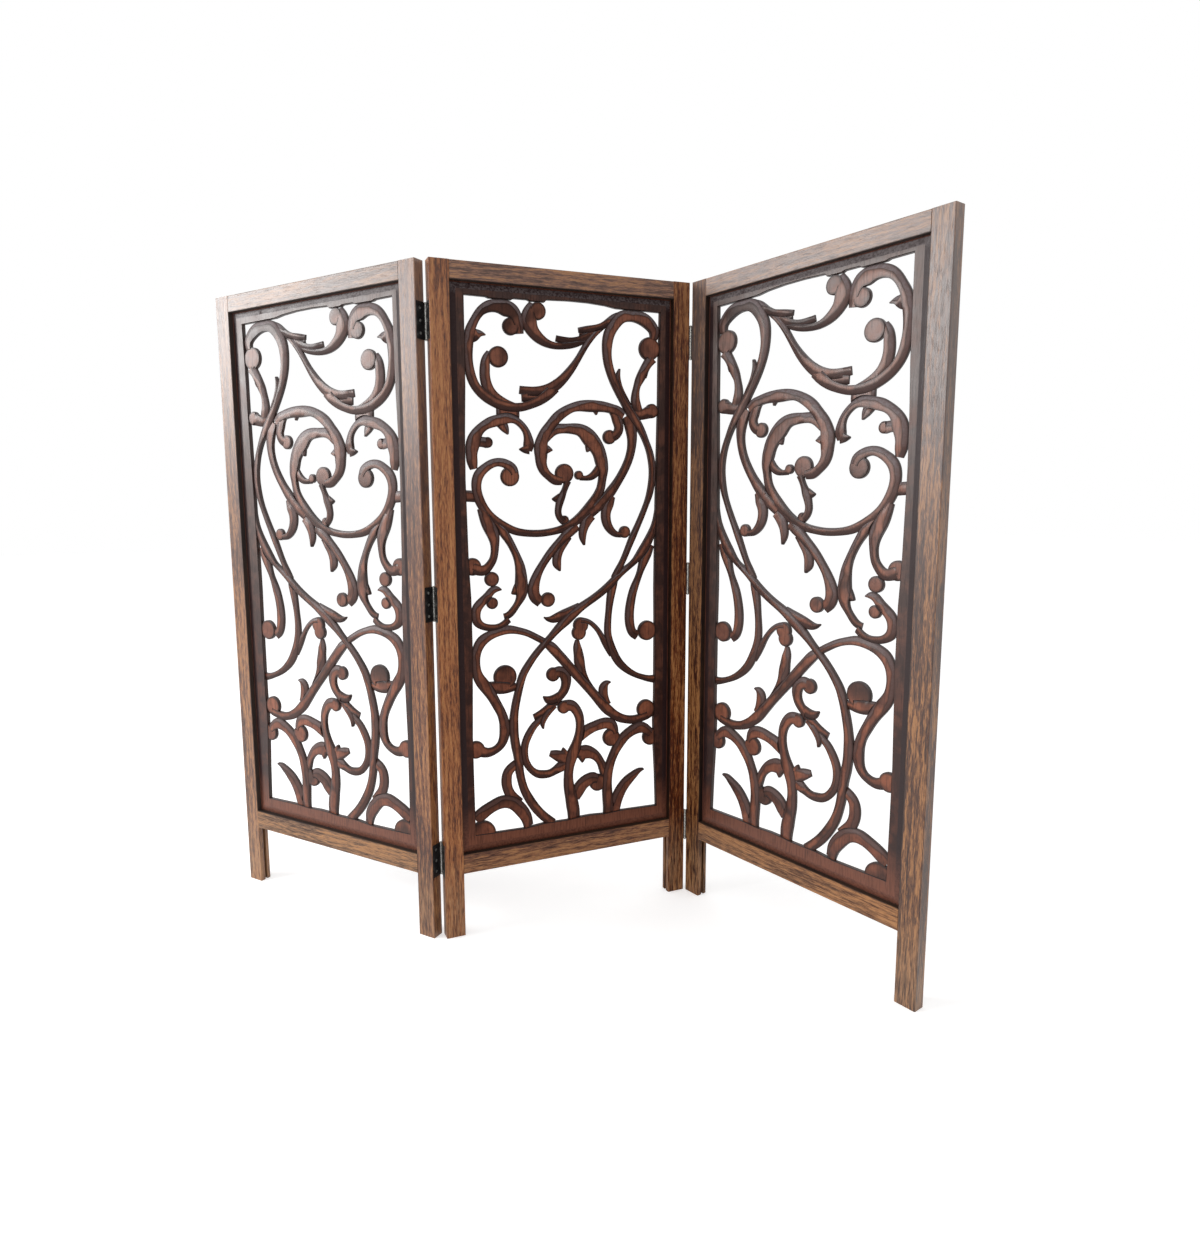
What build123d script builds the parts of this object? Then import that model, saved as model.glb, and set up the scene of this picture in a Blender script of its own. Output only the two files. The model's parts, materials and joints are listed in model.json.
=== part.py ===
from build123d import *
from math import atan2, degrees
import os

os.makedirs("parts", exist_ok=True)

# ---- Panels and frame (mm) ----
panel_width = 508.0
panel_height = 1219.0
frame_thickness = 24.0
stile_width = 36.0
top_rail_height = 32.0
bottom_rail_height = 38.0
leg_height = 121.0
arris_radius = 1.5
groove_width = 6.0
groove_depth = 9.0
groove_setback = 10.0

# ---- Carved jali boards ----
jali_recess = 8.0
jali_thickness = 8.0
tongue_length = 8.0
bevel_start = 2.0
bevel_width = 9.0
strand_gain = 0.7
least_opening = 40.0
centre_pattern_shift = (0.0, 0.0)
left_pattern_shift = (-5.0, 0.5)
right_pattern_shift = (1.0, 3.0)

# ---- Folds ----
fold_gap = 1.5
pin_setoff = 2.2
left_fold_angle = 52.0
right_fold_angle = 76.4
left_hinge_heights = (149.0, 629.0, 1119.0)
right_hinge_heights = (143.0, 654.0, 1108.0)
hinge_places = ("low", "middle", "top")

# ---- Butt hinges ----
hinge_length = 63.0
leaf_thickness = 1.5
leaf_face = 0.2
leaf_reach = 24.5
leaf_corner_radius = 2.0
knuckle_radius = 2.1
knuckle_gap = 0.3
knuckle_count = 5
pin_radius = 1.0
pin_clearance = 0.05
pin_button_radius = 1.6
pin_button_height = 1.1
pin_button_round = 0.5

# ---- Countersunk screws ----
screw_spacing = 21.0
screw_line = 14.5
screw_head_radius = 3.0
screw_shank_radius = 1.5
screw_length = 16.0
screw_point_length = 3.0
screw_point_radius = 0.4
recess_length = 3.2
recess_width = 0.7
recess_depth = 0.8

# ---- Frame sizes that follow ----
opening_width = panel_width - 2 * stile_width
opening_low = leg_height + bottom_rail_height
opening_high = panel_height - top_rail_height
opening_height = opening_high - opening_low
groove_middle = groove_setback + groove_width / 2

# The jali pattern is a full-size cartoon, measured from the panel's left edge (u) and from
# the floor (v), and drawn for an opening of this size.
cartoon_left = 35.0
cartoon_low = 161.0
cartoon_width = 438.0
cartoon_height = 1025.0

# Scrolling strands: (u, v, half width) at stations along the middle of each.
STRANDS = {
    # great C scroll in the upper left corner
    "great_c": (
        (166, 1106, 7), (164.5, 1119, 8.5), (161, 1131, 10), (153, 1143, 12), (142, 1147.5, 13.5),
        (127, 1150.5, 11.2), (109, 1149, 9.5), (93, 1139.5, 7.5), (81, 1123, 6.8), (73, 1106, 8),
        (70, 1088, 8), (68.5, 1070, 7.5), (69, 1050, 7.2), (71.5, 1035, 7.5), (77, 1019, 7.3),
        (87, 1004.5, 7), (101, 993, 7.3), (117, 984.5, 7.3), (134, 979, 7.5), (150, 977.5, 7),
        (167, 978.5, 7), (185, 983.5, 7), (203, 991.5, 8), (220, 1004, 9.5), (234, 1016, 9.5)),
    "inner_c": (
        (108, 1072, 4), (102, 1062, 6), (99, 1046, 8), (98.5, 1032, 8.3), (100.5, 1019, 8.5),
        (106, 1006, 8.5), (116, 995, 8), (130, 987, 7), (146, 982, 5), (162, 980, 3)),
    "c_barb": ((101.5, 1100.5, 0.5), (93, 1102, 4.5), (84, 1099.5, 9.5), (73, 1098, 12)),
    "leaf_a": (
        (346, 1143, 4), (335, 1133, 4.5), (323.5, 1124, 5), (313.5, 1115.5, 5), (305.5, 1106.5, 5),
        (296.5, 1094.5, 4.8), (287.5, 1080.5, 4.8), (278.5, 1066.5, 5.2), (269.5, 1054, 6.2),
        (259.5, 1042, 7.2), (247.5, 1029.5, 8.3), (231, 1017, 9.3), (210, 1009.5, 8.2),
        (190, 1007, 7.3), (175, 1007.5, 7), (164, 1009, 6.4)),
    "leaf_b": ((168, 995, 6), (190, 996, 9), (206, 1001, 10), (223, 1010, 10), (238, 1022, 9)),
    # leaves along the top
    "sprig": (
        (190, 1160, 5), (182.5, 1145, 9.5), (183, 1129, 13.5), (189, 1114.5, 11), (202, 1101, 8.5),
        (216, 1093, 6.3), (232, 1089, 5), (248, 1089, 4.8), (264, 1091, 4.6), (280, 1095, 4),
        (294, 1100, 2.5)),
    "sprig_leaf": (
        (236, 1102.5, 4.8), (250, 1099.5, 5.5), (266, 1098.5, 6), (282, 1102, 6), (298, 1109, 6),
        (312, 1117, 5)),
    "top_leaf": (
        (281, 1119.5, 4), (300, 1122, 5.5), (318, 1126, 5), (336, 1134, 5.5), (353, 1145.5, 6.5),
        (368, 1152, 6)),
    "top_leaf_low": ((283, 1112, 2.4), (296, 1111, 3), (310, 1115, 4), (324, 1125, 4.5)),
    # long S from the upper right corner down to the right border
    "long_s": (
        (437, 1111, 7), (439, 1125, 9.5), (430, 1138, 11), (415, 1147.5, 11.5), (392, 1151.5, 9.5),
        (370, 1148.5, 10.5), (354, 1134, 10), (343, 1116, 9.6), (339, 1098, 8.8), (338.5, 1080, 7.6),
        (340.5, 1065, 7.2), (345, 1050, 7), (351.5, 1035, 7.2), (358, 1021, 6.5), (366, 1007, 6.2),
        (375, 993, 6.4), (385, 978, 7.5), (396, 964, 8.5), (406, 951, 7.5), (415.5, 936, 6.2),
        (422.5, 921, 5.3), (429.5, 905, 5.8), (434, 889, 6.2), (436.5, 872, 6.2), (436.5, 855, 6),
        (434.5, 838, 6), (430.5, 820, 5.6), (424, 803, 4.6), (417, 787, 4.6), (410, 772, 4.8),
        (402.5, 757, 5), (394, 740, 5.6), (386, 723, 5.2), (378.5, 706, 5), (370.5, 690, 5),
        (361.5, 675, 5.5), (354, 661, 6)),
    "s_barb": (
        (365, 1054.5, 0.5), (361.5, 1043, 3.3), (362.5, 1029, 4.5), (368, 1014, 4.8),
        (376, 1001, 4.8), (387, 987, 4.5)),
    "s_tail": (
        (357, 664, 6.3), (351.5, 648, 7.2), (347, 630, 7.1), (344, 612, 6.2), (342, 595, 5.6),
        (340.3, 578, 5.8), (339.5, 562, 6), (341, 547, 6.2), (346, 531.7, 6.6), (351.7, 516.5, 7.2),
        (358.5, 503, 7.2), (369.5, 489, 6.8), (383, 477.5, 5.9), (394.5, 470, 5.3), (407, 464, 5),
        (418, 460, 5.2), (429, 456.5, 5.8), (444, 454, 7.5)),
    "right_hook": (
        (434, 1077, 10), (420.5, 1060, 7.8), (414, 1047, 8.5), (406, 1033, 7), (402.5, 1025, 5.6),
        (399.5, 1013, 6), (398.5, 1000, 7.5), (401, 987, 8.5), (408, 974, 8)),
    "right_notch": ((420.5, 1039, 2), (417, 1048, 7), (421, 1060, 7)),
    "right_stub": ((398, 970, 8), (412, 971, 8.5), (424, 975, 10.5), (434, 979, 12)),
    # arch and loop of the middle
    "outer_arch": (
        (374, 969, 9), (362, 977, 8.5), (350, 980.5, 8.3), (335, 983.5, 8.8), (318, 984.5, 9.8),
        (300, 984.5, 10.2), (283, 984, 9), (266, 980, 7.8), (250, 972, 8.4), (236, 961.5, 8.8),
        (224, 948, 8.8), (213.5, 935, 9.3), (206.5, 921.5, 10.2), (203.5, 907, 12), (204, 893, 11),
        (204.5, 878, 9), (210, 865, 7.6), (220, 855, 6.6), (232, 848, 7.6), (246, 846, 6)),
    "arch_barb": ((317, 968.5, 0.5), (316, 976, 5), (311, 984, 8)),
    "arch_drop": (
        (346, 982, 6), (356, 972, 9), (362, 957, 9.6), (364, 943, 8.6), (357, 932, 8.2), (346, 928, 9)),
    "loop": (
        (207, 918, 8), (217.5, 929.5, 8.2), (229, 938.5, 8.6), (241, 942, 8.5), (254, 942.5, 8.2),
        (268, 942.5, 9.2), (284, 940, 11), (298, 930.5, 14.5), (312, 916, 14.5), (323, 898.5, 12.8),
        (328, 880, 12), (331, 866, 9.4), (329, 850, 7.6), (326, 834, 7.8), (317, 817, 8.2),
        (304, 801, 8.7), (289, 785, 8.6), (273, 772.3, 7.8), (256, 763, 6.8), (240, 757, 6.3),
        (222, 753.5, 6), (205, 751.5, 6), (190, 751.3, 6), (172, 752.5, 6), (150, 757, 6.4),
        (127, 768.5, 6.4), (106, 782.5, 7), (93, 797, 7.4), (84, 813, 8), (79.2, 830, 7.8),
        (79.2, 846, 8.2), (86, 861.5, 8.2), (97.5, 871.5, 7.2), (110, 878.5, 7), (124, 880.5, 7),
        (138, 876.5, 7.7), (149, 868, 8), (153, 858, 7)),
    "loop_barb": ((297.3, 900.3, 0.5), (301, 909, 7), (308, 922, 12)),
    "loop_barb_left": ((227, 903.2, 0.5), (219, 904.5, 6), (208, 903, 10)),
    "loop_tail": ((283, 853, 4.5), (294, 852, 4), (304, 854, 5.6), (315, 861.5, 7), (324, 872, 8)),
    "cross_down": (
        (380, 968, 8.5), (387.5, 953, 11), (391, 940, 10.5), (392.5, 927, 9.2), (391.5, 911, 8),
        (388, 895, 7.6), (380.5, 876.5, 7.4), (369.5, 857.5, 7.4), (358.5, 841.5, 7.8), (347, 827, 9),
        (333, 811, 9), (318, 798, 9), (303, 786, 9)),
    "small_hook": (
        (350, 818, 6), (340.5, 801, 9.3), (336, 788, 8.7), (336, 775, 8.3), (340, 762.5, 7.5),
        (347.5, 752.5, 6.2), (358, 745.5, 5), (370, 744.5, 5)),
    "drop_leaf": ((290.3, 726.5, 0.5), (287, 740, 5.2), (288, 755, 7.3), (294, 770, 9), (305, 783, 10)),
    # leaf hanging in the loop
    "pendant": (
        (257, 847, 6.5), (253, 836, 4.8), (248, 825, 5.2), (242, 813, 6.6), (238.5, 801, 5.6),
        (237, 790, 5.2), (240.5, 779, 5), (248.5, 770.5, 5)),
    "pendant_barb": ((225.5, 814, 0.5), (233, 813.5, 5.5), (242, 817, 7)),
    # arch under the great C
    "left_arch": (
        (75, 868, 6), (72, 881, 8.8), (71, 895, 9.6), (73, 909, 11.5), (77, 922, 11), (85, 935, 8.6),
        (97, 945, 8), (110, 951, 9.3), (125, 955, 9.3), (140, 958, 8.5), (154, 956, 6.2),
        (166, 948, 5.6), (175, 937, 5.9), (179.5, 924, 7.6), (180.5, 911, 9.6), (179, 901, 7.5)),
    "left_arch_tip": ((162, 904, 0.5), (170, 903.5, 5), (181, 905, 9.5)),
    "left_arch_barb": ((141, 930, 0.8), (136, 939, 6.5), (128, 950, 9.5)),
    "left_stub": ((78, 916, 9), (90, 916, 8.3), (100, 914.5, 8.8)),
    "arch_tie": ((141, 976, 21), (141, 955, 21)),
    "border_tie": ((50, 821.5, 9.5), (76, 820, 9.5)),
    # strands below the loop, at the left
    "fork_left": (
        (86, 799, 6), (92, 784, 8.5), (100, 768, 11), (108.5, 752, 11), (111.5, 735, 7.8),
        (111, 720, 6.4), (108, 707, 6.4), (101, 696, 7), (91, 687.5, 8.5), (78, 688, 9), (66, 692, 9)),
    "fork_right": (
        (111, 777, 5), (121, 765, 6.5), (129, 754, 7.6), (138, 741, 6.8), (146, 727, 6.2),
        (153.5, 711, 6.5), (159, 695, 8.3), (161.3, 680, 10), (161.8, 665, 11.3), (162, 650, 12),
        (161, 636, 9), (154, 622.5, 5.8), (145, 610.5, 5.8), (133.5, 601, 5.8), (127, 599.5, 5.5)),
    "fork_barb": ((142.5, 641.2, 0.5), (149, 645, 6.5), (158, 653, 11)),
    "beak": (
        (122.8, 650.6, 0.5), (114, 652.5, 4.5), (106, 650.5, 5.8), (96, 640.5, 6.5), (84, 629.5, 7.3),
        (74.5, 618, 8), (72, 605.5, 7.8), (75.5, 592.5, 7.4), (87.5, 584, 6), (101, 581, 5.6),
        (115, 581.5, 5.2), (128, 587, 5.6), (137, 594, 6)),
    "leaf_stem": (
        (276, 764, 9), (266, 757, 9), (254, 747.5, 8.3), (242, 736.5, 7), (230, 724.5, 6.8),
        (218, 711, 6.6), (207, 696.5, 6.3), (196.5, 680.5, 7), (189, 664, 8.8), (185.5, 648, 10.3),
        (189.5, 632, 10), (201, 623, 10)),
    "stem_leaf": (
        (240, 679.5, 0.5), (234, 692, 7), (234, 705, 7.6), (238, 718, 7.8), (246, 731, 8),
        (258, 745, 8)),
    # long diagonal from the right border down to the foot
    "diagonal": (
        (448.5, 802, 3), (446, 782, 4), (442.5, 764, 5), (435, 744, 7), (423.5, 723, 8.5),
        (410, 705, 7.5), (396, 690, 5.3), (382.5, 680.5, 5), (367.5, 670.5, 5.6), (353, 657, 6.2),
        (337, 643, 6.5), (321, 631.5, 6.4), (301, 619.5, 6.3), (282, 608.5, 7), (266, 596.5, 8),
        (252, 585, 8.2), (237, 573, 6.8), (221.5, 557.7, 5.4), (207, 544, 5.3), (195.5, 532.7, 5.3),
        (184.7, 520.7, 5.4), (174, 506.7, 5.8), (164, 492, 6), (157.3, 475.5, 6.4), (153.5, 460, 6.4),
        (149.5, 445, 6.6), (146, 430, 6.7), (143.5, 415, 7), (142, 400, 7.8), (142, 385, 8),
        (143.5, 366, 7.7), (146, 350, 8), (149, 335, 7.8), (151, 320, 7.8), (152, 305, 7.3),
        (154.5, 290, 7), (158, 275, 7), (163, 260.5, 7.4), (170.5, 246, 8), (180, 230.5, 8.2),
        (193, 213.5, 8.3), (207, 199.5, 8.3), (220, 188, 8.5)),
    "diagonal_leaf": (
        (206.5, 593.7, 0.5), (214, 590, 3.5), (228, 590, 7.5), (246, 597, 8), (263, 604.5, 6.5),
        (280, 612, 5)),
    "right_drop": (
        (432, 724, 10), (424, 705, 10), (417.5, 690, 8.4), (412.8, 677, 6.4), (408.3, 664, 5.7),
        (402.8, 652, 6.1), (397.3, 640, 6.7), (393.4, 628, 7.3), (389.9, 612, 7.9), (387.4, 596, 8.1),
        (386.9, 580, 8.2), (388.9, 564.5, 8), (395, 551.5, 8), (406, 546, 10)),
    # arches of the lower left
    "lower_arch": (
        (210, 545, 5.5), (203, 549.5, 5.8), (190, 557, 5.8), (174, 565.5, 5.8), (155, 572, 6),
        (135, 575.5, 7.2), (115, 572.5, 7), (98, 567, 7.6), (83.5, 558, 8.8), (74.2, 544.5, 8.3),
        (70, 528, 7.8), (70, 512, 7.6), (72.5, 497, 8.6), (82.3, 479, 10.6), (93.3, 464, 10.2),
        (102.5, 449, 9), (111, 433, 8.5), (119, 417, 8.4), (123.5, 401, 9), (124.5, 385, 9.5),
        (122, 369, 8.6), (115, 356.5, 7.3), (103, 348.5, 7), (90, 346, 8.3), (77, 350, 10)),
    "arch_tongue": ((92, 472, 8), (110, 468, 11), (130, 466, 10), (150, 466, 6)),
    "steep": (
        (206, 548, 5.5), (220.5, 536.5, 9), (233.3, 522.7, 9), (246, 508.5, 9), (257, 495.5, 8.8),
        (268, 483, 8.6), (279, 471, 8.4), (291, 457.5, 8.3), (303, 444, 8.3), (315, 430, 8.7),
        (326.5, 415.7, 9), (338, 403.5, 9.6), (351, 392.5, 8.7), (366, 383, 8.5), (380, 378, 7.7),
        (395, 375.5, 7.9), (412, 377, 7.6), (428, 381, 7.5), (443, 387, 7)),
    "steep_leaf": (
        (275, 546, 3), (274.5, 533, 6.8), (277.5, 517, 9), (279, 502, 9.8), (283, 487, 7.8),
        (289.5, 470, 6.5), (298, 455, 6.3), (308, 442, 6.5)),
    "horn": (
        (346, 457.5, 0.5), (338.5, 456.5, 3.8), (330.5, 447, 8.2), (330, 435, 8.4), (332.5, 423, 8.6),
        (338, 411, 9)),
    "bud_stem": (
        (278, 584, 4.5), (292, 582.5, 4), (304, 576.5, 4), (315, 566.5, 4.2), (324, 554.5, 4.6),
        (331, 541.5, 5.2), (340, 526, 5.8), (350, 511, 6)),
    # curl and ring round the trunk
    "curl": (
        (226, 485.5, 8.5), (236.5, 487.5, 9.5), (246, 482, 9.8), (251, 471.5, 10), (250.5, 460, 9),
        (246, 448.5, 8.3), (237.5, 438.5, 7.8), (226, 428, 7.5), (210, 415.5, 7), (196, 407.5, 6.5),
        (183.5, 402.8, 5.5)),
    "curl_leaf": ((203.5, 441.5, 0.8), (212, 434.5, 6.5), (226, 434.5, 8), (240, 441, 7.5)),
    "curl_tip": ((202, 379, 0.5), (200.5, 389, 3.5), (204.5, 400, 4.8), (213.5, 411.5, 5), (227, 422, 5)),
    "ring": (
        (204, 404, 4.5), (194.3, 396, 5.1), (184.5, 388, 5.5), (176.3, 377.5, 6), (168.8, 364.5, 6.3),
        (163.8, 350, 6.3), (162.8, 335, 6.3), (165.3, 320.5, 6.1), (171.2, 308.5, 6), (180, 298, 6.2),
        (190, 291.3, 7), (202, 288.5, 7.4), (214, 288.5, 7), (226, 292.8, 7.6), (239, 300, 9.5),
        (252, 304, 9.5)),
    "ring_leaf": ((216, 328, 5), (226, 324.5, 8.5), (238, 319, 11), (252, 313, 12)),
    "ring_barb": ((244, 336.3, 0.5), (245, 328, 6), (247, 320, 9)),
    "trunk": (
        (246, 418, 11), (261, 418.5, 10), (271, 409.5, 9.2), (277.5, 397, 8.5), (280, 383, 8),
        (279.5, 368, 8), (276, 352, 8.6), (270.5, 337, 9.8), (263, 321.5, 11), (257.5, 305, 9.5),
        (254.5, 287, 8.3), (254, 269, 8.8), (256, 252, 10.3), (259.5, 235, 11.3), (262.5, 218, 12.2),
        (265, 203, 12.2), (266, 188, 12.2)),
    "trunk_arm": (
        (274, 349, 8.5), (284, 359, 10), (296, 366.3, 10), (310, 371.3, 9.3), (324, 374.5, 9.8),
        (338, 375, 10.2), (349, 370, 10), (355.5, 361, 7), (358, 350, 5)),
    "trunk_arch": (
        (264, 324, 10), (276, 323, 11), (289, 322.5, 12.8), (302, 319.5, 11), (314, 311, 9),
        (323.5, 298.5, 7.7), (329.5, 284, 8.6), (334, 268, 8)),
    "trunk_barb": ((284, 301.5, 0.5), (284, 310, 6.5), (284, 320, 10)),
    "foot_arch": (
        (267, 232, 11), (275.5, 247.5, 12), (286, 259.5, 11.5), (298, 266, 10.8), (309.5, 268.3, 9),
        (319, 264, 7)),
    "stalk": (
        (340.5, 188, 10.3), (340.5, 203, 10.1), (339.5, 217, 9.9), (338.5, 232, 9.8), (337.5, 250, 9.3),
        (338, 266, 9.2), (340.5, 280, 8.9), (344.5, 292, 8.3), (349.5, 304, 7.9), (356.5, 318, 8.2),
        (366, 332, 9), (378, 344.5, 9), (391, 352.5, 9.2), (404, 357.5, 10.3), (417, 357.5, 10.3),
        (428, 351, 9), (437, 343, 8)),
    "foot_leaf": (
        (354, 188, 11), (356.5, 208, 11.3), (364, 226.5, 11), (374, 241.5, 10), (386.5, 253.5, 8.8),
        (399.5, 262.7, 6.3), (411, 269.5, 3.3), (420.5, 271.2, 0.5)),
    # scroll in the lower left corner
    "foot_curl": (
        (63, 219, 11.5), (81.5, 233, 10.8), (96, 240.5, 10), (112, 246, 10.8), (128, 245.5, 11.3),
        (143, 237.5, 12), (156, 223, 12.2), (165, 208, 10.8), (170, 190, 9.2)),
    "foot_rise": (
        (152, 322, 5.5), (140.5, 314, 7.5), (130, 304, 8.2), (126, 290, 9), (126.5, 277, 9),
        (130.5, 264, 9), (139.5, 251, 9.5), (152, 239, 9)),
}

# Round lobes at the ends of the strands: (u, v, radius).
LOBES = {
    "great_c": (148.5, 1117.5, 14.8),
    "inner_c": (124, 1064, 17.8),
    "sprig": (200, 1147, 15),
    "long_s": (428, 1094, 21),
    "right_stub": (434, 979, 13),
    "arch_drop": (343.5, 928.5, 12.8),
    "loop_end": (142.5, 855, 17),
    "outer_arch": (250, 860.5, 17.6),
    "loop_tail": (279.5, 857.5, 7.8),
    "pendant": (249.5, 774.5, 8.2),
    "left_stub": (101, 915, 9),
    "small_hook": (376, 749.5, 11),
    "fork_left": (68, 694.5, 15.5),
    "beak_top": (104, 670.5, 13),
    "fork_right": (104, 626.5, 10.3),
    "leaf_stem": (214.5, 627, 13.3),
    "right_drop": (426, 554, 19.2),
    "bud_upper": (282, 574, 14.8),
    "bud_lower": (278, 560, 13.8),
    "arch_tongue": (126.5, 487, 21.8),
    "curl": (223.5, 483, 13),
    "trunk": (245, 417, 12),
    "trunk_arm": (347, 345.5, 17.5),
    "border_middle": (424, 395, 18.6),
    "border_low": (435, 336.5, 16.8),
    "foot_arch": (317, 256.8, 16.5),
    "lower_arch": (67, 354.5, 16),
    "corner": (76, 189, 26),
}

# Inner edge of the board's border, clockwise from the upper left corner.
FIELD_EDGE = (
    (62, 1164.5), (102, 1164), (108, 1162), (150, 1162), (154, 1164.5), (180, 1164.5), (185, 1162.5),
    (213, 1162.5), (217, 1167), (260, 1168.5), (300, 1168), (335, 1165.5), (357, 1162), (449.5, 1161),
    (449, 1130), (447.5, 1075), (447, 995), (445, 900), (443, 800), (441.5, 640), (442.5, 560),
    (442.5, 420), (440.5, 370), (442, 320), (445.5, 260), (448, 191),
    (365, 193), (330, 191.5), (300, 193.5), (275, 193), (250, 191), (200, 192), (160, 188.5),
    (110, 189.5), (62, 191),
    (61, 300), (60.5, 380), (62.5, 470), (64, 560), (63.5, 640), (60.5, 700), (58, 850), (59, 930),
    (61.5, 1010), (62, 1100))

across_scale = opening_width / cartoon_width
up_scale = opening_height / cartoon_height
lobe_scale = (across_scale + up_scale) / 2


def on_board(u, v):
    """Cartoon point carried to the real opening, measured from the panel's lower left corner."""
    across = stile_width + (u - cartoon_left) * across_scale
    up = opening_low + (v - cartoon_low) * up_scale
    return Vector(across, up)


def strand_sides(stations):
    """Points along the left and right side of a strand, square to its middle line."""
    middles = [Vector(u, v) for u, v, half_width in stations]
    left_side = []
    right_side = []
    for index, (u, v, half_width) in enumerate(stations):
        before = middles[max(index - 1, 0)]
        after = middles[min(index + 1, len(middles) - 1)]
        here = middles[index]
        if here in (before, after):
            run = after - before
        else:
            back = here - before
            ahead = after - here
            run = back * (ahead.length / back.length) + ahead * (back.length / ahead.length)
        run = run.normalized()
        square = Vector(-run.Y, run.X) * (half_width + strand_gain)
        left_side.append(on_board(u + square.X, v + square.Y))
        right_side.append(on_board(u - square.X, v - square.Y))
    return left_side, right_side


def side_line(points):
    """A straight side for a two-station strand, otherwise a smooth one."""
    if len(points) == 2:
        Line(*points)
    else:
        Spline(*points)


# ---- Pierced pattern, drawn once for all three boards ----
strand_faces = []
for stations in STRANDS.values():
    left_side, right_side = strand_sides(stations)
    with BuildSketch() as strand:
        with BuildLine():
            side_line(left_side)
            Line(left_side[-1], right_side[-1])
            side_line(right_side[::-1])
            Line(right_side[0], left_side[0])
        make_face()
    strand_faces.append(strand.sketch.face())
for u, v, radius in LOBES.values():
    with BuildSketch() as lobe:
        with Locations(on_board(u, v)):
            Circle((radius + strand_gain) * lobe_scale)
    strand_faces.append(lobe.sketch.face())

with BuildSketch() as piercing:
    with BuildLine():
        Polyline(*[on_board(u, v) for u, v in FIELD_EDGE], close=True)
    make_face()
    add(strand_faces, mode=Mode.SUBTRACT)
openings = [face for face in piercing.sketch.faces() if face.area > least_opening]


# ---- Placing of the three panels ----
def panel_base(corner, pin, turn):
    """Plan frame of a panel: x across it, y from its front to its back, z up."""
    arm = (corner - pin).rotate(Axis.Z, turn)
    return Plane(origin=pin + arm, x_dir=Vector(1, 0, 0).rotate(Axis.Z, turn), z_dir=(0, 0, 1))


def plan_corners(base):
    """The four corners of a panel on the floor."""
    spots = [Vector(x, y) for x in (0, panel_width) for y in (0, frame_thickness)]
    return [base.from_local_coords(spot) for spot in spots]


left_pin = Vector(-fold_gap / 2, frame_thickness + pin_setoff)
right_pin = Vector(panel_width + fold_gap / 2, -pin_setoff)
centre_base = panel_base(Vector(0, 0), Vector(0, 0), 0)
left_base = panel_base(Vector(-fold_gap - panel_width, 0), left_pin, -left_fold_angle)
right_base = panel_base(Vector(panel_width + fold_gap, 0), right_pin, -right_fold_angle)

# The origin is the middle of the footprint, on the floor.
corners = plan_corners(centre_base) + plan_corners(left_base) + plan_corners(right_base)
middle_x = (min(c.X for c in corners) + max(c.X for c in corners)) / 2
middle_y = (min(c.Y for c in corners) + max(c.Y for c in corners)) / 2
to_origin = Vector(-middle_x, -middle_y)
left_pin = left_pin + to_origin
right_pin = right_pin + to_origin
centre_base = Plane(origin=centre_base.origin + to_origin, x_dir=centre_base.x_dir, z_dir=(0, 0, 1))
left_base = Plane(origin=left_base.origin + to_origin, x_dir=left_base.x_dir, z_dir=(0, 0, 1))
right_base = Plane(origin=right_base.origin + to_origin, x_dir=right_base.x_dir, z_dir=(0, 0, 1))


# ---- Hinge seats ----
def hinge_seats(pin, heights, into_wood, from_pin):
    """Frames of the leaves on one edge: origin on the pin, x into the stile edge, y away from the pin."""
    upward = into_wood.cross(from_pin)
    return [Plane(origin=pin + Vector(0, 0, height), x_dir=into_wood, z_dir=upward) for height in heights]


left_fixed_seats = hinge_seats(left_pin, left_hinge_heights, centre_base.x_dir, -centre_base.y_dir)
left_swing_seats = hinge_seats(left_pin, left_hinge_heights, -left_base.x_dir, -left_base.y_dir)
right_fixed_seats = hinge_seats(right_pin, right_hinge_heights, -centre_base.x_dir, centre_base.y_dir)
right_swing_seats = hinge_seats(right_pin, right_hinge_heights, right_base.x_dir, right_base.y_dir)

leaf_bed = leaf_face + leaf_thickness - fold_gap / 2
plate_start = pin_setoff + knuckle_gap
screw_spots = ((screw_line, -screw_spacing), (screw_line, 0), (screw_line, screw_spacing))
head_taper = degrees(atan2(screw_head_radius - screw_shank_radius, leaf_thickness))
point_taper = degrees(atan2(screw_shank_radius - screw_point_radius, screw_point_length))
knuckle_length = (hinge_length - (knuckle_count - 1) * knuckle_gap) / knuckle_count
knuckle_pitch = knuckle_length + knuckle_gap
fixed_knuckles = (-2 * knuckle_pitch, 0, 2 * knuckle_pitch)
swing_knuckles = (-knuckle_pitch, knuckle_pitch)


def leaf_plane(seat):
    """Open face of a leaf: x away from the pin, z into the wood."""
    return Plane(origin=seat.origin + seat.x_dir * leaf_face, x_dir=seat.y_dir, z_dir=seat.x_dir)


def leaf_outline(start):
    """A leaf's shape from start outward, with rounded outer corners."""
    with BuildSketch(mode=Mode.PRIVATE) as outline:
        with Locations(((start + leaf_reach) / 2, 0)):
            Rectangle(leaf_reach - start, hinge_length)
        fillet(outline.vertices().group_by(Axis.X)[-1], leaf_corner_radius)
    return outline.sketch


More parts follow.
